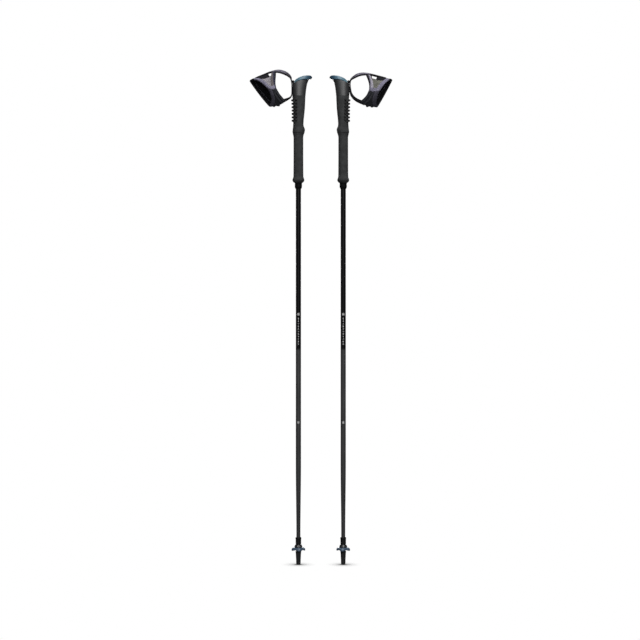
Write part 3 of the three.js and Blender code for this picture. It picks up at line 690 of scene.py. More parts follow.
def make_foam_grip(side):
    low, high = side.range("foam_grip")
    around = 216
    nubs_low = NUB_FIRST - NUB_PITCH / 2 - NUB_RADIUS - 1
    heights = np.concatenate([np.linspace(low, nubs_low, 26),
                              np.arange(nubs_low + 0.5, high - 1.5, 0.45), [high - 0.8, high]])
    angles, z = angles_around(around), heights[:, None]
    relief = nub_relief(angles, z)
    outside = grip_point(angles, z) + ring(NUB_HEIGHT * relief, angles, 0)
    outside[0, :, :2] *= 0.97
    outside[-1, :, :2] *= 0.985
    bore = [ring(GRIP_BORE, angles, end) for end in (high, low)]
    points = np.concatenate([outside.reshape(-1, 3), *bore])
    faces = grid_faces(len(heights) + 2, around, True)
    obj = finished_object(side, "grip_foam", points, faces, sharp=60)
    # The nubs' relief, which the foam's material turns into painted shade.
    raised = obj.data.attributes.new("nub", "FLOAT", "POINT")
    raised.data.foreach_set("value", np.concatenate([relief.ravel(), np.zeros(2 * around)]))
    dress(obj, "foam", "eva_foam", "pole", "foam_grip")


def line_height(line, x):
    return np.interp(x, [p[0] for p in line], [p[1] for p in line])


def applied(obj):
    """Makes what the object's modifiers do part of its mesh."""
    evaluated = obj.evaluated_get(bpy.context.evaluated_depsgraph_get())
    mesh = bpy.data.meshes.new_from_object(evaluated)
    obj.modifiers.clear()
    obj.data = mesh


def boolean_cut(obj, tool):
    """Cuts the tool's solid out of obj and removes the tool."""
    modifier = obj.modifiers.new("cut", "BOOLEAN")
    modifier.operation = "DIFFERENCE"
    modifier.solver = "EXACT"
    modifier.object = tool
    bpy.context.view_layer.update()
    applied(obj)
    bpy.data.objects.remove(tool)


def block(side, reach, y, z):
    """A box that cuts room out of another piece."""
    corners = [(reach[i], y[j], z[k]) for i in (0, 1) for j in (0, 1) for k in (0, 1)]
    faces = [(0, 1, 3, 2), (4, 6, 7, 5), (0, 4, 5, 1), (2, 3, 7, 6), (0, 2, 6, 4), (1, 5, 7, 3)]
    return finished_object(side, "tool", corners, faces)


def seat_height(reach):
    """The height of the head's top, which the cap sits on."""
    return line_height(SEAT_LINE, -reach) - SEAT_GAP


def make_head(side):
    low, _ = side.range("grip_head")
    around, levels = 128, 44
    angles = angles_around(around)
    top = np.full(around, 1184.0)
    for _ in range(8):
        top = seat_height(grip_point(angles, top)[..., 0])
    rings = [grip_point(angles, low + (top - low) * share) for share in np.linspace(0, 1, levels)]
    for inset in (0.992, 0.975, 0.9, 0.6, 0.2):
        lid = rings[levels - 1] * (inset, inset, 1)
        lid[:, 2] = seat_height(lid[:, 0])
        rings.append(lid)
    rings[levels - 1][:, 2] -= 0.7
    rings[0][:, :2] *= 0.992
    obj = finished_object(side, "head_shell", np.concatenate(rings), capped_faces(len(rings), around))
    for cut in HEAD_CUTS:
        boolean_cut(obj, block(side, *cut))
    smooth_shaded(obj.data, 40)
    dress(obj, "head", "grip_rubber", "pole", "grip_head")


def cap_half_width(x):
    """The cap's half-width in plan along its length."""
    share = (np.array(x) - CAP_BACK) / (CAP_BEAK - CAP_BACK)
    return smooth_line([(width,) for width in CAP_WIDTHS], share)[..., 0]


def rounding(distance, radius):
    """How full the cap is at a distance from an end that this radius rounds off."""
    return math.sqrt(max(0.0, 1 - max(0.0, 1 - distance / radius) ** 2))


def make_cap(side):
    stations = [CAP_BACK, -10.0, -9.6, -9.0, *np.linspace(-8, 31, 46), 32, 32.8, 33.3, 33.7, CAP_BEAK]
    angles = angles_around(64)
    c, s = np.cos(angles), np.sin(angles)
    power = np.where(s > 0, 0.62, 0.3)
    rings = []
    for x in stations:
        low, high = line_height(SEAT_LINE, x), smooth_height(x)
        fullness = max(0.04, min(rounding(x - CAP_BACK, 1.2), rounding(CAP_BEAK - x, 3.2)))
        middle = (low + high) / 2 + (1 - fullness) * (high - low) * 0.05
        half = (high - low) / 2 * fullness
        y = cap_half_width(x) * (0.55 + 0.45 * fullness) * np.sign(c) * np.abs(c) ** power
        z = middle + half * np.sign(s) * np.abs(s) ** power
        rings.append(np.stack(np.broadcast_arrays(-x, y, z), -1))
    faces = capped_faces(len(rings), len(angles))
    obj = finished_object(side, "cap_shell", np.concatenate(rings), faces, sharp=50)
    well = lathe(side, "tool", [(0, 1180), (4.55, 1180), (4.55, 1215), (0, 1215)], 48, closed=False)
    for vertex in well.data.vertices:
        vertex.co.x -= side.outward * BUTTON_BACK * MM
    boolean_cut(obj, well)
    smooth_shaded(obj.data, 50)
    dress(obj, "cap", "blue_cap", "pole", "top_cap")


def smooth_height(x):
    """The height of the cap's crown, smooth along its length."""
    line = np.array(TOP_LINE)
    fine = np.linspace(line[0, 0], line[-1, 0], 400)
    return np.interp(x, fine, smoothed(np.interp(fine, line[:, 0], line[:, 1]), 14))


def make_button(side):
    """A disc that follows the cap's crown, on a stem that reaches down to the catch."""
    profile = softened([
        (0, -0.5), (2.1, -0.42), (4.25, 0), (4.25, -5.2), (1.6, -5.4), (1.6, -13.2), (0, -13.2),
    ], 0.6, closed=False)
    angles = angles_around(48)
    points = []
    for r, drop in profile:
        x = BUTTON_BACK + r * np.cos(angles)
        crowned = drop > -5.3 and r > 1.7 or drop > -1
        crown = smooth_height(x if crowned else BUTTON_BACK)
        points.append(np.stack(np.broadcast_arrays(-x, r * np.sin(angles), crown + drop + 0.1), -1))
    faces = grid_faces(len(profile), len(angles))
    obj = finished_object(side, "button_disc", np.concatenate(points), faces, weld=True)
    dress(obj, "cap", "blue_cap", "button", "release_button")


# ---------------------------------------------------------------- cuff surface

def cuff_blank(strap, along, turn):
    """A cuff's designed surface: along 0 is the wrist, turn 0 the top, 90 degrees the near side."""
    along, turn = np.broadcast_arrays(along, turn)
    top = smooth_line(strap["top"], along)
    bottom = smooth_line(strap["bottom"], along)
    middle = (top + bottom) / 2
    up = (top - bottom) / 2
    half = np.linalg.norm(up, axis=-1, keepdims=True)
    up = up / half
    inwards = np.stack([-up[..., 1], up[..., 0]], -1)
    depth = WRIST_DEPTH + (FRONT_DEPTH - WRIST_DEPTH) * along ** 2.2
    rim = strap["rim_set_back"] * np.maximum(0, np.sin(turn)) * (1 - along)
    front = strap["front_set_back"] * np.abs(np.sin(turn)) ** strap["front_sharpness"] * along ** 2
    flat = middle + up * half * np.cos(turn)[..., None] + inwards * (rim - front)[..., None]
    return np.stack([flat[..., 0], -depth * np.sin(turn), flat[..., 1]], -1)


# The cloth simulation runs on a cuff at ten times its size, whose millimetres are hundredths.
CLOTH_SCALE = 0.01
CLOTH_FRAMES = 26
CLOTH_GRAVITY = 0.35
FARTHEST_SHIFT = 3.2
CLOTH_SETTINGS = {
    "quality": 6, "mass": 0.25, "tension_stiffness": 20, "compression_stiffness": 12,
    "shear_stiffness": 8, "bending_stiffness": 0.35, "vertex_group_mass": "pins",
    "shrink_min": -0.03, "use_pressure": True, "uniform_pressure_force": 0.7,
}


def simulated(blank):
    """The cuff's points after the cloth simulation, pinned at both rims and along the top seam."""
    mesh = bpy.data.meshes.new("cuff_cloth")
    mesh.from_pydata((blank.reshape(-1, 3) * CLOTH_SCALE).tolist(), [],
                     grid_faces(CUFF_ROWS, CUFF_COLUMNS))
    obj = linked("cuff_cloth", mesh)
    pins = obj.vertex_groups.new(name="pins")
    last = CUFF_ROWS - 1
    for row, weight in ((0, 1.0), (1, 0.6), (last - 1, 0.7), (last, 1.0)):
        pins.add(list(range(row * CUFF_COLUMNS, (row + 1) * CUFF_COLUMNS)), weight, "REPLACE")
    for row in range(CUFF_ROWS):
        for column in range(-SEWN_COLUMNS, SEWN_COLUMNS + 1):
            pins.add([row * CUFF_COLUMNS + column % CUFF_COLUMNS], 1.0, "REPLACE")
    cloth = obj.modifiers.new("cloth", "CLOTH")
    for key, value in CLOTH_SETTINGS.items():
        setattr(cloth.settings, key, value)
    cloth.settings.effector_weights.gravity = CLOTH_GRAVITY
    cloth.point_cache.frame_start, cloth.point_cache.frame_end = 1, CLOTH_FRAMES
    for step in range(CLOTH_FRAMES):
        bpy.context.scene.frame_set(step + 1)
    evaluated = obj.evaluated_get(bpy.context.evaluated_depsgraph_get())
    moved = np.zeros(blank.size)
    evaluated.data.vertices.foreach_get("co", moved)
    bpy.data.objects.remove(obj)
    bpy.context.scene.frame_set(1)
    return moved.reshape(blank.shape) / CLOTH_SCALE


def settled_cuff(strap):
    """A cuff's fabric as a grid of points in millimetres, moved a little by the simulation."""
    along = np.linspace(0, 1, CUFF_ROWS)[:, None]
    blank = cuff_blank(strap, along, angles_around(CUFF_COLUMNS)[None, :])
    shift = simulated(blank) - blank
    for _ in range(SHIFT_SMOOTHINGS):
        around = (np.roll(shift, 1, 1) + np.roll(shift, -1, 1)) / 4 + shift / 2
        inner = (around[:-2] + around[2:]) / 4 + around[1:-1] / 2
        shift = np.concatenate([around[:1], inner, around[-1:]])
    size = np.linalg.norm(shift, axis=-1, keepdims=True)
    slack = np.sin(np.pi * along)[..., None] ** 0.7
    return blank + slack * shift * np.minimum(1, FARTHEST_SHIFT / np.maximum(size, 1e-9))


def cuff_surface(side, along, turn):
    """Points on the settled cuff, smooth between the simulation's points."""
    along, turn = np.broadcast_arrays(along, turn)
    row = np.clip(along, 0, 1) * (CUFF_ROWS - 1)
    column = (turn / TURN) % 1 * CUFF_COLUMNS
    i = np.minimum(row.astype(int), CUFF_ROWS - 2)
    j = np.minimum(column.astype(int), CUFF_COLUMNS - 1)
    f, g = (row - i)[..., None], (column - j)[..., None]
    rows = []
    for k in (-1, 0, 1, 2):
        r = np.clip(i + k, 0, CUFF_ROWS - 1)
        rows.append(cubic(*(side.cuff[r, (j + m) % CUFF_COLUMNS] for m in (-1, 0, 1, 2)), g))
    beyond = (along - np.clip(along, 0, 1))[..., None]
    front, back = side.cuff[-1, j] - side.cuff[-3, j], side.cuff[2, j] - side.cuff[0, j]
    slope = np.where(along[..., None] > 0.5, front, back)
    return cubic(*rows, f) + slope * beyond * (CUFF_ROWS - 1) / 2


def cuff_point(side, along, turn, proud):
    """A point that stands proud millimetres out of the settled cuff."""
    along, turn = np.broadcast_arrays(along, turn)
    inner = np.clip(along, 0.012, 0.988)
    ahead = cuff_surface(side, inner + 0.01, turn) - cuff_surface(side, inner - 0.01, turn)
    aside = cuff_surface(side, inner, turn + 0.03) - cuff_surface(side, inner, turn - 0.03)
    normal = unit(np.cross(ahead, aside))
    return cuff_surface(side, along, turn) + normal * np.asarray(proud, float)[..., None]


def hem(side, distance, turn):
    """The place along the cuff at a distance from the wrist, or from the front if it is below 0."""
    line = cuff_surface(side, np.linspace(0, 1, 25)[:, None], np.atleast_1d(turn)[None, :])
    share = distance / distances(line)[-1]
    return share + (share < 0)


def turns_between(start, end, count):
    return np.radians(np.linspace(start, end, count))


def from_top(turn):
    """Degrees from the cuff's top, on either side."""
    return np.abs((np.degrees(turn) + 180) % 360 - 180)


def cloth_uvs(points):
    """Distances along both directions of a grid of points, in metres."""
    across = distances(points.swapaxes(0, 1)).T
    return np.stack([across, distances(points)], -1).reshape(-1, 2) * MM


def slab(side, name, outside, inside, keep=None, wrap=False, uvs=None, sharp=50):
    """Two grids of points joined into a slab, with the outer grid's cloth map on both faces."""
    rows, columns = outside.shape[:2]
    if keep is None:
        keep = np.ones((rows - 1, columns), bool)
    if uvs is None:
        uvs = cloth_uvs(outside)
    points = np.concatenate([outside.reshape(-1, 3), inside.reshape(-1, 3)])
    faces = thick_faces(rows, columns, keep, wrap)
    return finished_object(side, name, points, faces, np.concatenate([uvs, uvs]), sharp)


def cuff_slab(side, name, along, turn, outer, inner, keep=None, wrap=False):
    """A layer of cloth on the cuff between two distances from its surface."""
    outside, inside = (cuff_point(side, along, turn, proud) for proud in (outer, inner))
    return slab(side, name, outside, inside, keep, wrap)


def row_lines(side, turn):
    """Places along the cuff where its rows change: the tape's edge, the slot and the front yoke."""
    tape = hem(side, TAPE_WIDTH, turn)
    yoke = hem(side, -yoke_width(side, turn), turn)
    slot_low, slot_high = side.strap["slot"]
    one = np.ones_like(turn)
    return [0 * one, tape, slot_low * one, np.minimum(slot_high * one, yoke - 0.01), yoke, one]


def yoke_width(side, turn):
    """The front yoke's width in millimetres, which grows from the top to the seam."""
    narrow, wide = side.strap["yoke_widths"]
    places = [0, SLOT_TURNS[0], WINDOW_TURNS[1], 180]
    return np.interp(from_top(turn), places, [narrow, narrow, wide, narrow])


def ruffles(along, turn):
    """The gathers along the cuff's lower edge, in millimetres out of its surface."""
    low = 1 - np.clip((180 - from_top(turn) - 6) / 16, 0, 1)
    return 1.5 * low * np.sin(along * 25 + 0.6) * np.sin(np.pi * np.clip(along * 1.1, 0, 1)) ** 0.6


def cuff_layer(side, name, outer, inner, material, slot, node, quilt=0.0):
    """The whole tube of one fabric, with the slots and the window left open."""
    columns = 180
    turn = angles_around(columns)
    lines = row_lines(side, turn)
    counts = (6, 8, 12, 4, 7)
    rows = []
    for start, end, count in zip(lines, lines[1:], counts):
        rows += [start + (end - start) * k / count for k in range(count)]
    along = np.array(rows + [lines[-1]])
    turns = np.broadcast_to(turn, along.shape)
    keep = np.ones((along.shape[0] - 1, columns), bool)
    degrees = (np.degrees(turn) + 180 + 1) % 360 - 180
    first, slot_low, slot_high, yoke = np.cumsum(counts)[:4]
    window = (degrees > WINDOW_TURNS[0]) & (degrees < WINDOW_TURNS[1])
    keep[first:yoke, window] = False
    sides = np.abs(degrees)
    vent = (sides > SLOT_TURNS[0]) & (sides < SLOT_TURNS[1])
    keep[slot_low:slot_high, vent] = False
    thin = np.interp(sides, THIN_TURNS, (THINNEST, 1))
    ruffle = ruffles(along, turns)
    puff = quilt * np.abs(np.sin(turns * 9)) * np.sin(np.pi * np.clip(along, 0, 1)) ** 0.5
    obj = cuff_slab(side, name, along, turns, outer * thin + ruffle, (inner - puff) * thin + ruffle,
                    keep, wrap=True)
    return dress(obj, material, slot, "strap", node)


def rounded_patch(side, name, along, turn, proud, thickness):
    """A strip of cloth, proud of the cuff's face, whose edges round down to it."""
    rows, columns = along.shape
    i = np.arange(rows)[:, None]
    j = np.arange(columns)[None, :]
    edge = np.minimum(np.minimum(i, rows - 1 - i), np.minimum(j, columns - 1 - j))
    fall = np.where(edge == 0, 0.35, np.where(edge == 1, 0.82, 1.0))
    return cuff_slab(side, name, along, turn, proud + thickness * fall, proud + 0 * along)


# ---------------------------------------------------------------- cuff pieces

def make_cuff(side):
    shell = cuff_layer(side, "cuff_fabric", 0.0, -FABRIC, "shell", "black_fabric", "cuff_shell")
    liner = cuff_layer(side, "cuff_padding", -FABRIC - 0.25, -FABRIC - LINER, "liner",
                       "liner_fabric", "cuff_liner", quilt=1.1)


def piping(side, name, line, radius, closed=True, around=12):
    """A round cord along a line of local points."""
    ahead = unit(np.roll(line, -1, 0) - np.roll(line, 1, 0) if closed else np.gradient(line, axis=0))
    out = line - line.mean(0)
    out = unit(out - (out * ahead).sum(1, keepdims=True) * ahead)
    angles = angles_around(around)[None, :, None]
    points = line[:, None] + radius * (out[:, None] * np.cos(angles)
                                       + np.cross(ahead, out)[:, None] * np.sin(angles))
    faces = grid_faces(len(line), around, True) if closed else capped_faces(len(line), around)
    return finished_object(side, name, points.reshape(-1, 3), faces, cloth_uvs(points))


def make_bindings(side):
    """The rims: black all round but for the wrist's near side, which is grey like its tape, with
    painted shade below.
    """
    for name, material, along, turns, radius, nodes in (
            ("wrist_piping", "shell", -0.004, (183, 387), 2.5, ["wrist_binding"]),
            ("near_wrist_piping", "tape", -0.004, (27, 92), 2.4, []),
            # The lower piping takes the tape's colour darkened with painted shade.
            ("low_wrist_piping", "dim_tape", -0.004, (92, 183), 2.4, []),
            ("front_piping", "shell", 1.004, (0, 360), 2.2, ["front_binding"])):
        closed = turns == (0, 360)
        turn = turns_between(*turns, 120)[:-1 if closed else None]
        depth = np.interp(from_top(turn), THIN_TURNS, (-0.9, -2.0))
        line = cuff_point(side, np.full(len(turn), along), turn, depth)
        dress(piping(side, name, line, radius, closed), material, "grey_trim", "strap", *nodes)


def patch_rows(side, start, end, turn, count):
    """Rows of a patch between two distances along the cuff, for each turn."""
    start, end = hem(side, start, turn), hem(side, end, turn)
    along = start + (end - start) * np.linspace(0, 1, count)[:, None]
    return along, np.broadcast_to(turn, along.shape)


def make_tapes(side):
    """The wrist tape, the front band, the seam tape that joins them and the yoke behind the band."""
    wrist, front = (0.02 * TAPE_WIDTH, TAPE_WIDTH), (-4.8, -0.3)
    for name, material, turns, ends, columns, rows, proud, thickness in (
            ("wrist_tape", "tape", (8, SEAM_TURNS[1]), wrist, 90, 9, 0.12, 0.8),
            # The wrist tape below the seam, darkened with painted shade.
            ("lower_wrist_tape", "dim_tape", (SEAM_TURNS[1] + 0.4, 176), wrist, 90, 9, 0.12, 0.8),
            ("seam_tape", "tape", SEAM_TURNS, (TAPE_WIDTH - 0.4, -4.4), 13, 36, 0.14, 0.9),
            ("front_band", side.strap["band"], (14, 103), front, 90, 9, 0.12, 0.7)):
        patch = patch_rows(side, *ends, turns_between(*turns, columns), rows)
        tape = rounded_patch(side, name, *patch, proud, thickness)
        dress(tape, material, "grey_trim", "strap")
    turn = turns_between(SLOT_TURNS[0], SEAM_TURNS[0], 60)
    patch = patch_rows(side, -yoke_width(side, turn) - 0.5, -4.6, turn, 10)
    dress(rounded_patch(side, "yoke", *patch, 0.1, 0.55), side.strap["yoke"], "mesh_fabric", "strap")


def make_window(side):
    """Knitted mesh set behind the window, as a net of threads."""
    rows, columns = 30, 46
    turn = turns_between(WINDOW_TURNS[0] - 2, WINDOW_TURNS[1] + 2, columns)
    along, turns = patch_rows(side, TAPE_WIDTH - 0.8, 1.0 - yoke_width(side, turn), turn, rows)
    turns = turns.copy()
    turns[:, 1:-1] += 0.5 * (np.arange(rows) % 2)[:, None] * (turn[1] - turn[0])
    folds = 0.5 * np.sin(np.linspace(0, 1, rows) * 14)[:, None] * np.sin(turns - turns[:, :1])
    points = cuff_point(side, along, turns, -0.9 + folds)
    quads = grid_faces(rows, columns, wrap_columns=False)
    faces = [half for a, b, c, d in quads for half in ((a, b, c), (a, c, d))]
    obj = finished_object(side, "window_net", points.reshape(-1, 3), faces, cloth_uvs(points))
    wire = obj.modifiers.new("threads", "WIREFRAME")
    wire.thickness = 0.6 * MM
    wire.use_even_offset = False
    applied(obj)
    dress(obj, side.strap["mesh"], "mesh_fabric", "strap", "mesh_window")


def make_flap(side):
    """The closure flap over the lower half of the near side, with folds that fan from its front."""
    turn = turns_between(*FLAP_TURNS, 90)
    along, turns = patch_rows(side, TAPE_WIDTH + 1.0, -0.6, turn, 50)
    down = (turns - turns[:, :1]) / (turns[:, -1:] - turns[:, :1])
    across = np.linspace(0, 1, 50)[:, None]
    fan = np.arctan2(1.15 - across, 1.25 - down)
    folds = 1.2 * np.sin(fan * 17) + 0.4 * np.sin(fan * 37 + 1.3)
    calm = np.sin(np.pi * np.clip(across, 0, 1)) ** 0.5 * np.clip(down * 5, 0.15, 1)
    base = 0.5 + ruffles(along, turns)
    flap = rounded_patch(side, "flap_cloth", along, turns, base, 1.2 + folds * calm)
    dress(flap, "flap", "black_fabric", "flap", "closure_flap")


def stitch_row(points, normals, length=2.3, gap=1.1, thick=0.28):
    """Small raised stitches along a line, as points and faces."""
    travelled = distances(points)
    found = lambda values, where: np.array([np.interp(where, travelled, v) for v in values.T])
    angles = angles_around(6)[:, None]
    stitches = []
    at = gap
    while at + length < travelled[-1]:
        start, middle, end = (found(points, at + part * length) for part in (0, 0.5, 1))
        normal = unit(found(normals, at + length / 2))
        offset = np.cross(unit(end - start), normal) * np.cos(angles) + normal * np.sin(angles)
        rings = [centre + normal * lift + offset * thick * wide for centre, lift, wide in
                 ((start, 0.0, 0.35), (middle, 0.28, 1.0), (end, 0.0, 0.35))]
        stitches.append((np.concatenate(rings), capped_faces(3, 6)))
        at += length + gap
    return merged(stitches)


def stitched(side, along, turn, proud, **size):
    """A row of stitches along places on the cuff, proud millimetres over its face."""
    low, high = (cuff_point(side, along, turn, np.full(along.shape, proud + k)) for k in (0.0, 1.0))
    return stitch_row(low, high - low, **size)


def round_stitches(side, turns, distance, proud, **size):
    """A row of stitches round the cuff."""
    turn = turns_between(*turns, 180)
    return stitched(side, hem(side, distance, turn), turn, proud, **size)


def make_stitching(side):
    """Stitches along the tapes, the front band and the front hem, and inside the lining."""
    rows = [round_stitches(side, (12, 92), distance, 0.95) for distance in (1.2, TAPE_WIDTH - 1.1)]
    for degrees in (SEAM_TURNS[0] + 2, SEAM_TURNS[1] - 2):
        turn = np.full(60, math.radians(degrees))
        start, end = hem(side, TAPE_WIDTH, turn), hem(side, -5.2, turn)
        rows.append(stitched(side, start + (end - start) * np.linspace(0, 1, 60), turn, 1.05))
    # Thick, close dark stitches along the seam tape's lower edge, which also paint the shade under
    # that edge.
    turn = np.full(80, math.radians(SEAM_TURNS[1] + 1))
    start = hem(side, TAPE_WIDTH, turn)
    line = start + (1 - 2.2 * start) * np.linspace(0, 1, 80)
    rows.append(stitched(side, line, turn, 1.2, length=3.4, gap=0.3, thick=0.75))
    rows.append(round_stitches(side, (16, 97), -3.9, 0.85))
    rows += [round_stitches(side, (188, 344), distance, 0.05) for distance in (-3.1, 3.1)]
    dress(finished_object(side, "stitching", *merged(rows)), "thread", "black_fabric", "strap")
    row = round_stitches(side, (182, 358), 9, -6.0, thick=0.5)
    dress(finished_object(side, "lining_stitches", *row), "dim_thread", "liner_fabric", "strap")


# ---------------------------------------------------------------- webbing

def make_webbing(side):
    """The loop: an arched band from the cuff that narrows to lie flat on the grip."""
    line, distance = even_line(side.strap["loop"], 190)
    ahead = unit(np.gradient(line, axis=0))
    out = np.stack([-ahead[:, 1], ahead[:, 0]], 1)
    out *= np.sign((out * (line - np.array(side.strap["loop_centre"]))).sum(1, keepdims=True))
    places, widths, arches = np.array(side.strap["shape"]).T
    half, arch = (smoothed(np.interp(distance / distance[-1], places, values), 8)[:, None]
                  for values in (widths, arches))
    across = np.linspace(-1, 1, 25)
    bend = (1 - np.sqrt(1 - (0.93 * across) ** 2)) / (1 - math.sqrt(1 - 0.93 ** 2))
    rounds = 0.25 + 0.75 * np.sqrt(np.clip(1 - across ** 8, 0, 1))
    ridges = 0.25 * np.exp(-((np.abs(across) - 0.5) / 0.08) ** 2)
    layers = []
    for lift in (0.72 * rounds + ridges, -rounds):
        flat = line[:, None, :] + out[:, None, :] * (lift - arch * bend)[..., None]
        layers.append(np.stack([flat[..., 0], half * across, flat[..., 1]], -1))
    u, v = np.broadcast_arrays(distance[:, None] * MM, (across + 1) / 2)
    uvs = np.stack([u, v], -1).reshape(-1, 2)
    obj = slab(side, "webbing_band", *layers, uvs=uvs, sharp=60)
    dress(obj, "webbing", "webbing", "strap", "webbing_loop")


# ---------------------------------------------------------------- tip and basket

def make_tip(side):
    low, high = side.range("tip_sleeve")
    sleeve = softened([
        (1.9, low), (3.9, low), (4.6, 29), (5.4, 34), (6.2, 38.7), (6.2, 49.6), (6.8, 51),
        (6.8, high - 5.2), (7.15, high - 4.2), (7.15, high - 1.2), (6.5, high), (5.2, high),
        (5.2, 45.7), (1.9, 45.7),
    ], 0.5)
    dress(lathe(side, "sleeve_tube", sleeve), "plastic", "black_plastic",
          "pole", "tip_sleeve")
    cover = softened([
        (0, 0), (3.7, 0), (5.0, 0.8), (5.5, 2.8), (5.65, 9), (5.65, 10.4), (5.5, 10.9), (5.7, 11.5),
        (6.6, 29), (7.0, 30.2), (7.0, 32.6), (6.6, 33), (5.75, 33), (4.95, 28.4), (4.25, 8.4),
        (3.2, 7), (1.9, 4.4), (1.9, 2), (0, 2),
    ], 0.5, closed=False)
    dress(lathe(side, "tip_cover", cover, closed=False), "tip", "tip_rubber",
          "cover", "rubber_tip")


def make_hub(side):
    """The flared lock ring with finger flutes round its skirt."""
    low, high = side.range("basket_hub")
    profile = softened([
        (6.5, low), (9.8, low), (10.0, low + 0.7), (9.4, low + 2.2), (8.4, high - 1.6),
        (7.9, high - 0.2), (7.6, high), (6.5, high),
    ], 0.6)
    angles = angles_around(120)
    flutes = 0.32 * (0.5 - 0.5 * np.cos(angles * HUB_FLUTES)) ** 3
    points = [ring(r - flutes * max(0.0, min(1.0, (r - 8.0) / 1.2)), angles, z) for r, z in profile]
    faces = grid_faces(len(profile), len(angles), True)
    obj = finished_object(side, "hub_ring", np.concatenate(points), faces)
    dress(obj, "gloss_plastic", "black_plastic", "hub", "basket_hub")


BASKET_LOBES, BASKET_RADIUS, BASKET_BORE, BASKET_NOTCH = 4, 17.0, 7.2, 4.0
BASKET_TURN = math.radians(170)
HUB_FLUTES = 15

# The skirt's section as shares of its rim's radius and drops below its top.
BASKET_SECTION = [(0, 3.4), (0.5, 4.2), (0.66, 6.2), (0.72, 8.2), (0.88, 8.6), (0.97, 7.8),
                  (1, 6), (0.97, 4.2), (0.85, 2.4), (0.66, 1.3), (0.45, 0.6), (0.2, 0.1), (0, 0)]


def make_basket(side):
    """A shallow umbrella of thick lobes whose rim turns down, with a rib over each lobe."""
    _, high = side.range("basket")
    angles = angles_around(220)
    lobe = (0.5 + 0.5 * np.cos(BASKET_LOBES * (angles - BASKET_TURN))) ** 0.8
    rim = BASKET_RADIUS - BASKET_NOTCH * (1 - lobe)
    rings = []
    for share, drop in softened(BASKET_SECTION, 0.8, steps=3):
        over = drop < 3 + 3 * share
        rib = 0.45 * lobe ** 6 * math.sin(math.pi * min(1, max(0, share))) * over
        radius = BASKET_BORE + (rim - BASKET_BORE) * share
        rings.append(ring(radius, angles, high - drop * (0.75 + 0.25 * lobe) + rib))
    faces = grid_faces(len(rings), len(angles), True)
    obj = finished_object(side, "basket_skirt", np.concatenate(rings), faces, sharp=60)
    dress(obj, "basket", "basket_blue", "skirt", "basket")


# ---------------------------------------------------------------- the frame's own small pieces

CARRIED = {
    "grip_core": "plastic", "catch_lever": "steel", "catch_pin": "steel", "catch_spring": "steel",
    "strap_hook": "dull_plastic", "strap_eye": "dull_plastic", "tip_stud": "steel",
    "carbide_point": "carbide",
}


def dress_carried(side):
    for node, material in CARRIED.items():
        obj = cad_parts[f"{side.name}_{node}"]
        obj.data.materials.clear()
        obj.data.materials.append(MATERIALS[material])


# ---------------------------------------------------------------- stage, lights and camera

FLOOR_REACH = 12.0
# The painted shadow's reach, its lean and its tones along the ambient occlusion.
PAINTED_SHADOW_REACH = 0.04
PAINTED_SHADOW_LEAN = (0.86, -0.1, 0.5)
PAINTED_SHADOW_TONES = [(0.6, 0.06), (0.82, 0.55), (0.985, 1)]


def make_stage():
    """A pure white floor with a painted shadow, dark only where the tips stand close over it."""
    mesh = bpy.data.meshes.new("studio_floor")
    corners = [(x * FLOOR_REACH, y * FLOOR_REACH, 0) for x, y in ((-1, -1), (1, -1), (1, 1), (-1, 1))]
    mesh.from_pydata(corners, [], [(0, 1, 2, 3)])
    floor = linked("studio_floor", mesh)
    shader = Shader("white_floor", 1.0, Specular_IOR_Level=0.0, Base_Color=(0, 0, 0, 1),
                    Emission_Strength=1.0)
    inputs = {"Distance": PAINTED_SHADOW_REACH, "Normal": PAINTED_SHADOW_LEAN}
    # Painted shadow: ambient occlusion darkens the floor's glow under the tips.
    painted_tip_shadow = shader.node("AmbientOcclusion", inputs, samples=16).outputs["AO"]
    shader.link(shader.ramp(painted_tip_shadow, PAINTED_SHADOW_TONES, smooth=False), shader.surface, "Emission Color")
    floor.data.materials.append(shader.material)
    floor.visible_diffuse = False
    floor.visible_glossy = False


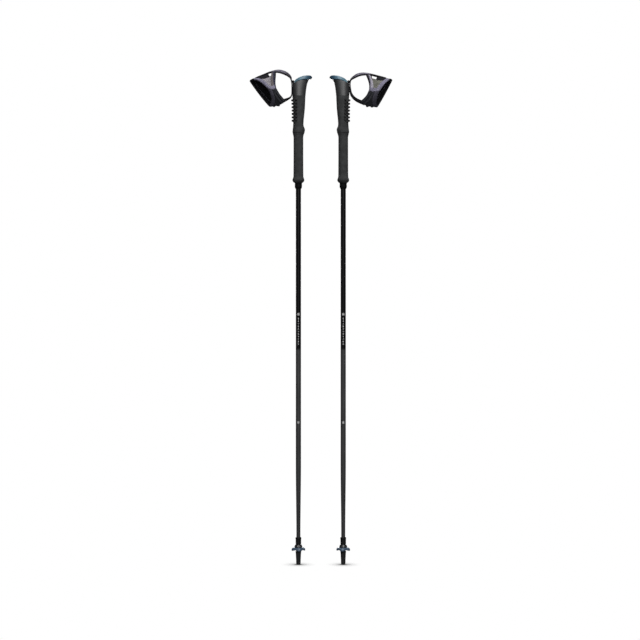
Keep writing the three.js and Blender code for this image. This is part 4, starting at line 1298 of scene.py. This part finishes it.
def area_light(name, place, aim_height, size, power):
    """A soft rectangular light that points at the poles' middle line."""
    data = bpy.data.lights.new(name, "AREA")
    data.shape = "RECTANGLE"
    data.size, data.size_y = size
    data.energy = power
    light = linked(name, data)
    light.location = place
    aim = Vector((0, 0, aim_height)) - Vector(place)
    light.rotation_euler = aim.to_track_quat("-Z", "Y").to_euler()


# Each light's name and place, the height it aims at, its size in metres and its power in watts.
LIGHTS = [
    ("key", (0.5, -3.4, 1.9), 0.75, (1.6, 1.6), 80),
    ("fill", (-0.9, -3.6, 0.9), 0.6, (1.2, 1.8), 17),
    ("top", (0.3, -1.0, 3.0), 0.7, (1.4, 1.4), 56),
    ("back", (-0.2, 3.6, 1.4), 0.7, (1.6, 1.6), 64),
]
WORLD_LIGHT = 0.12


def make_lights():
    """Soft lights, mostly from the front, in a room that is white wherever the camera looks."""
    for light in LIGHTS:
        area_light(*light)
    world = bpy.data.worlds.new("studio")
    world.use_nodes = True
    nodes, links = world.node_tree.nodes, world.node_tree.links
    nodes["Background"].inputs["Color"].default_value = (1, 1, 1, 1)
    strength = nodes.new("ShaderNodeMapRange")
    strength.inputs["To Min"].default_value = WORLD_LIGHT
    links.new(nodes.new("ShaderNodeLightPath").outputs["Is Camera Ray"], strength.inputs["Value"])
    links.new(strength.outputs["Result"], nodes["Background"].inputs["Strength"])
    bpy.context.scene.world = world
    bpy.context.scene.view_settings.view_transform = "Standard"


def make_camera():
    """Level with the poles' middle, from the front, with a long lens."""
    distance, view_height, sensor = 4.2, 1.5706, 36
    data = bpy.data.cameras.new("camera")
    data.sensor_width = sensor
    data.lens = sensor * distance / view_height
    camera = linked("camera", data)
    camera.location = (-0.002, -distance, 0.6)
    camera.rotation_euler = (math.pi / 2, 0, 0)
    bpy.context.scene.camera = camera


# ---------------------------------------------------------------- everything

make_camera()
for pole in SIDES:
    pole.cuff = settled_cuff(pole.strap)
    for make in (make_shaft, make_marks, make_collar, make_extension, make_foam_grip, make_head,
                 make_cap, make_button, make_cuff, make_bindings, make_tapes, make_window,
                 make_flap, make_stitching, make_webbing, make_tip, make_hub, make_basket,
                 dress_carried):
        make(pole)
make_stage()
make_lights()
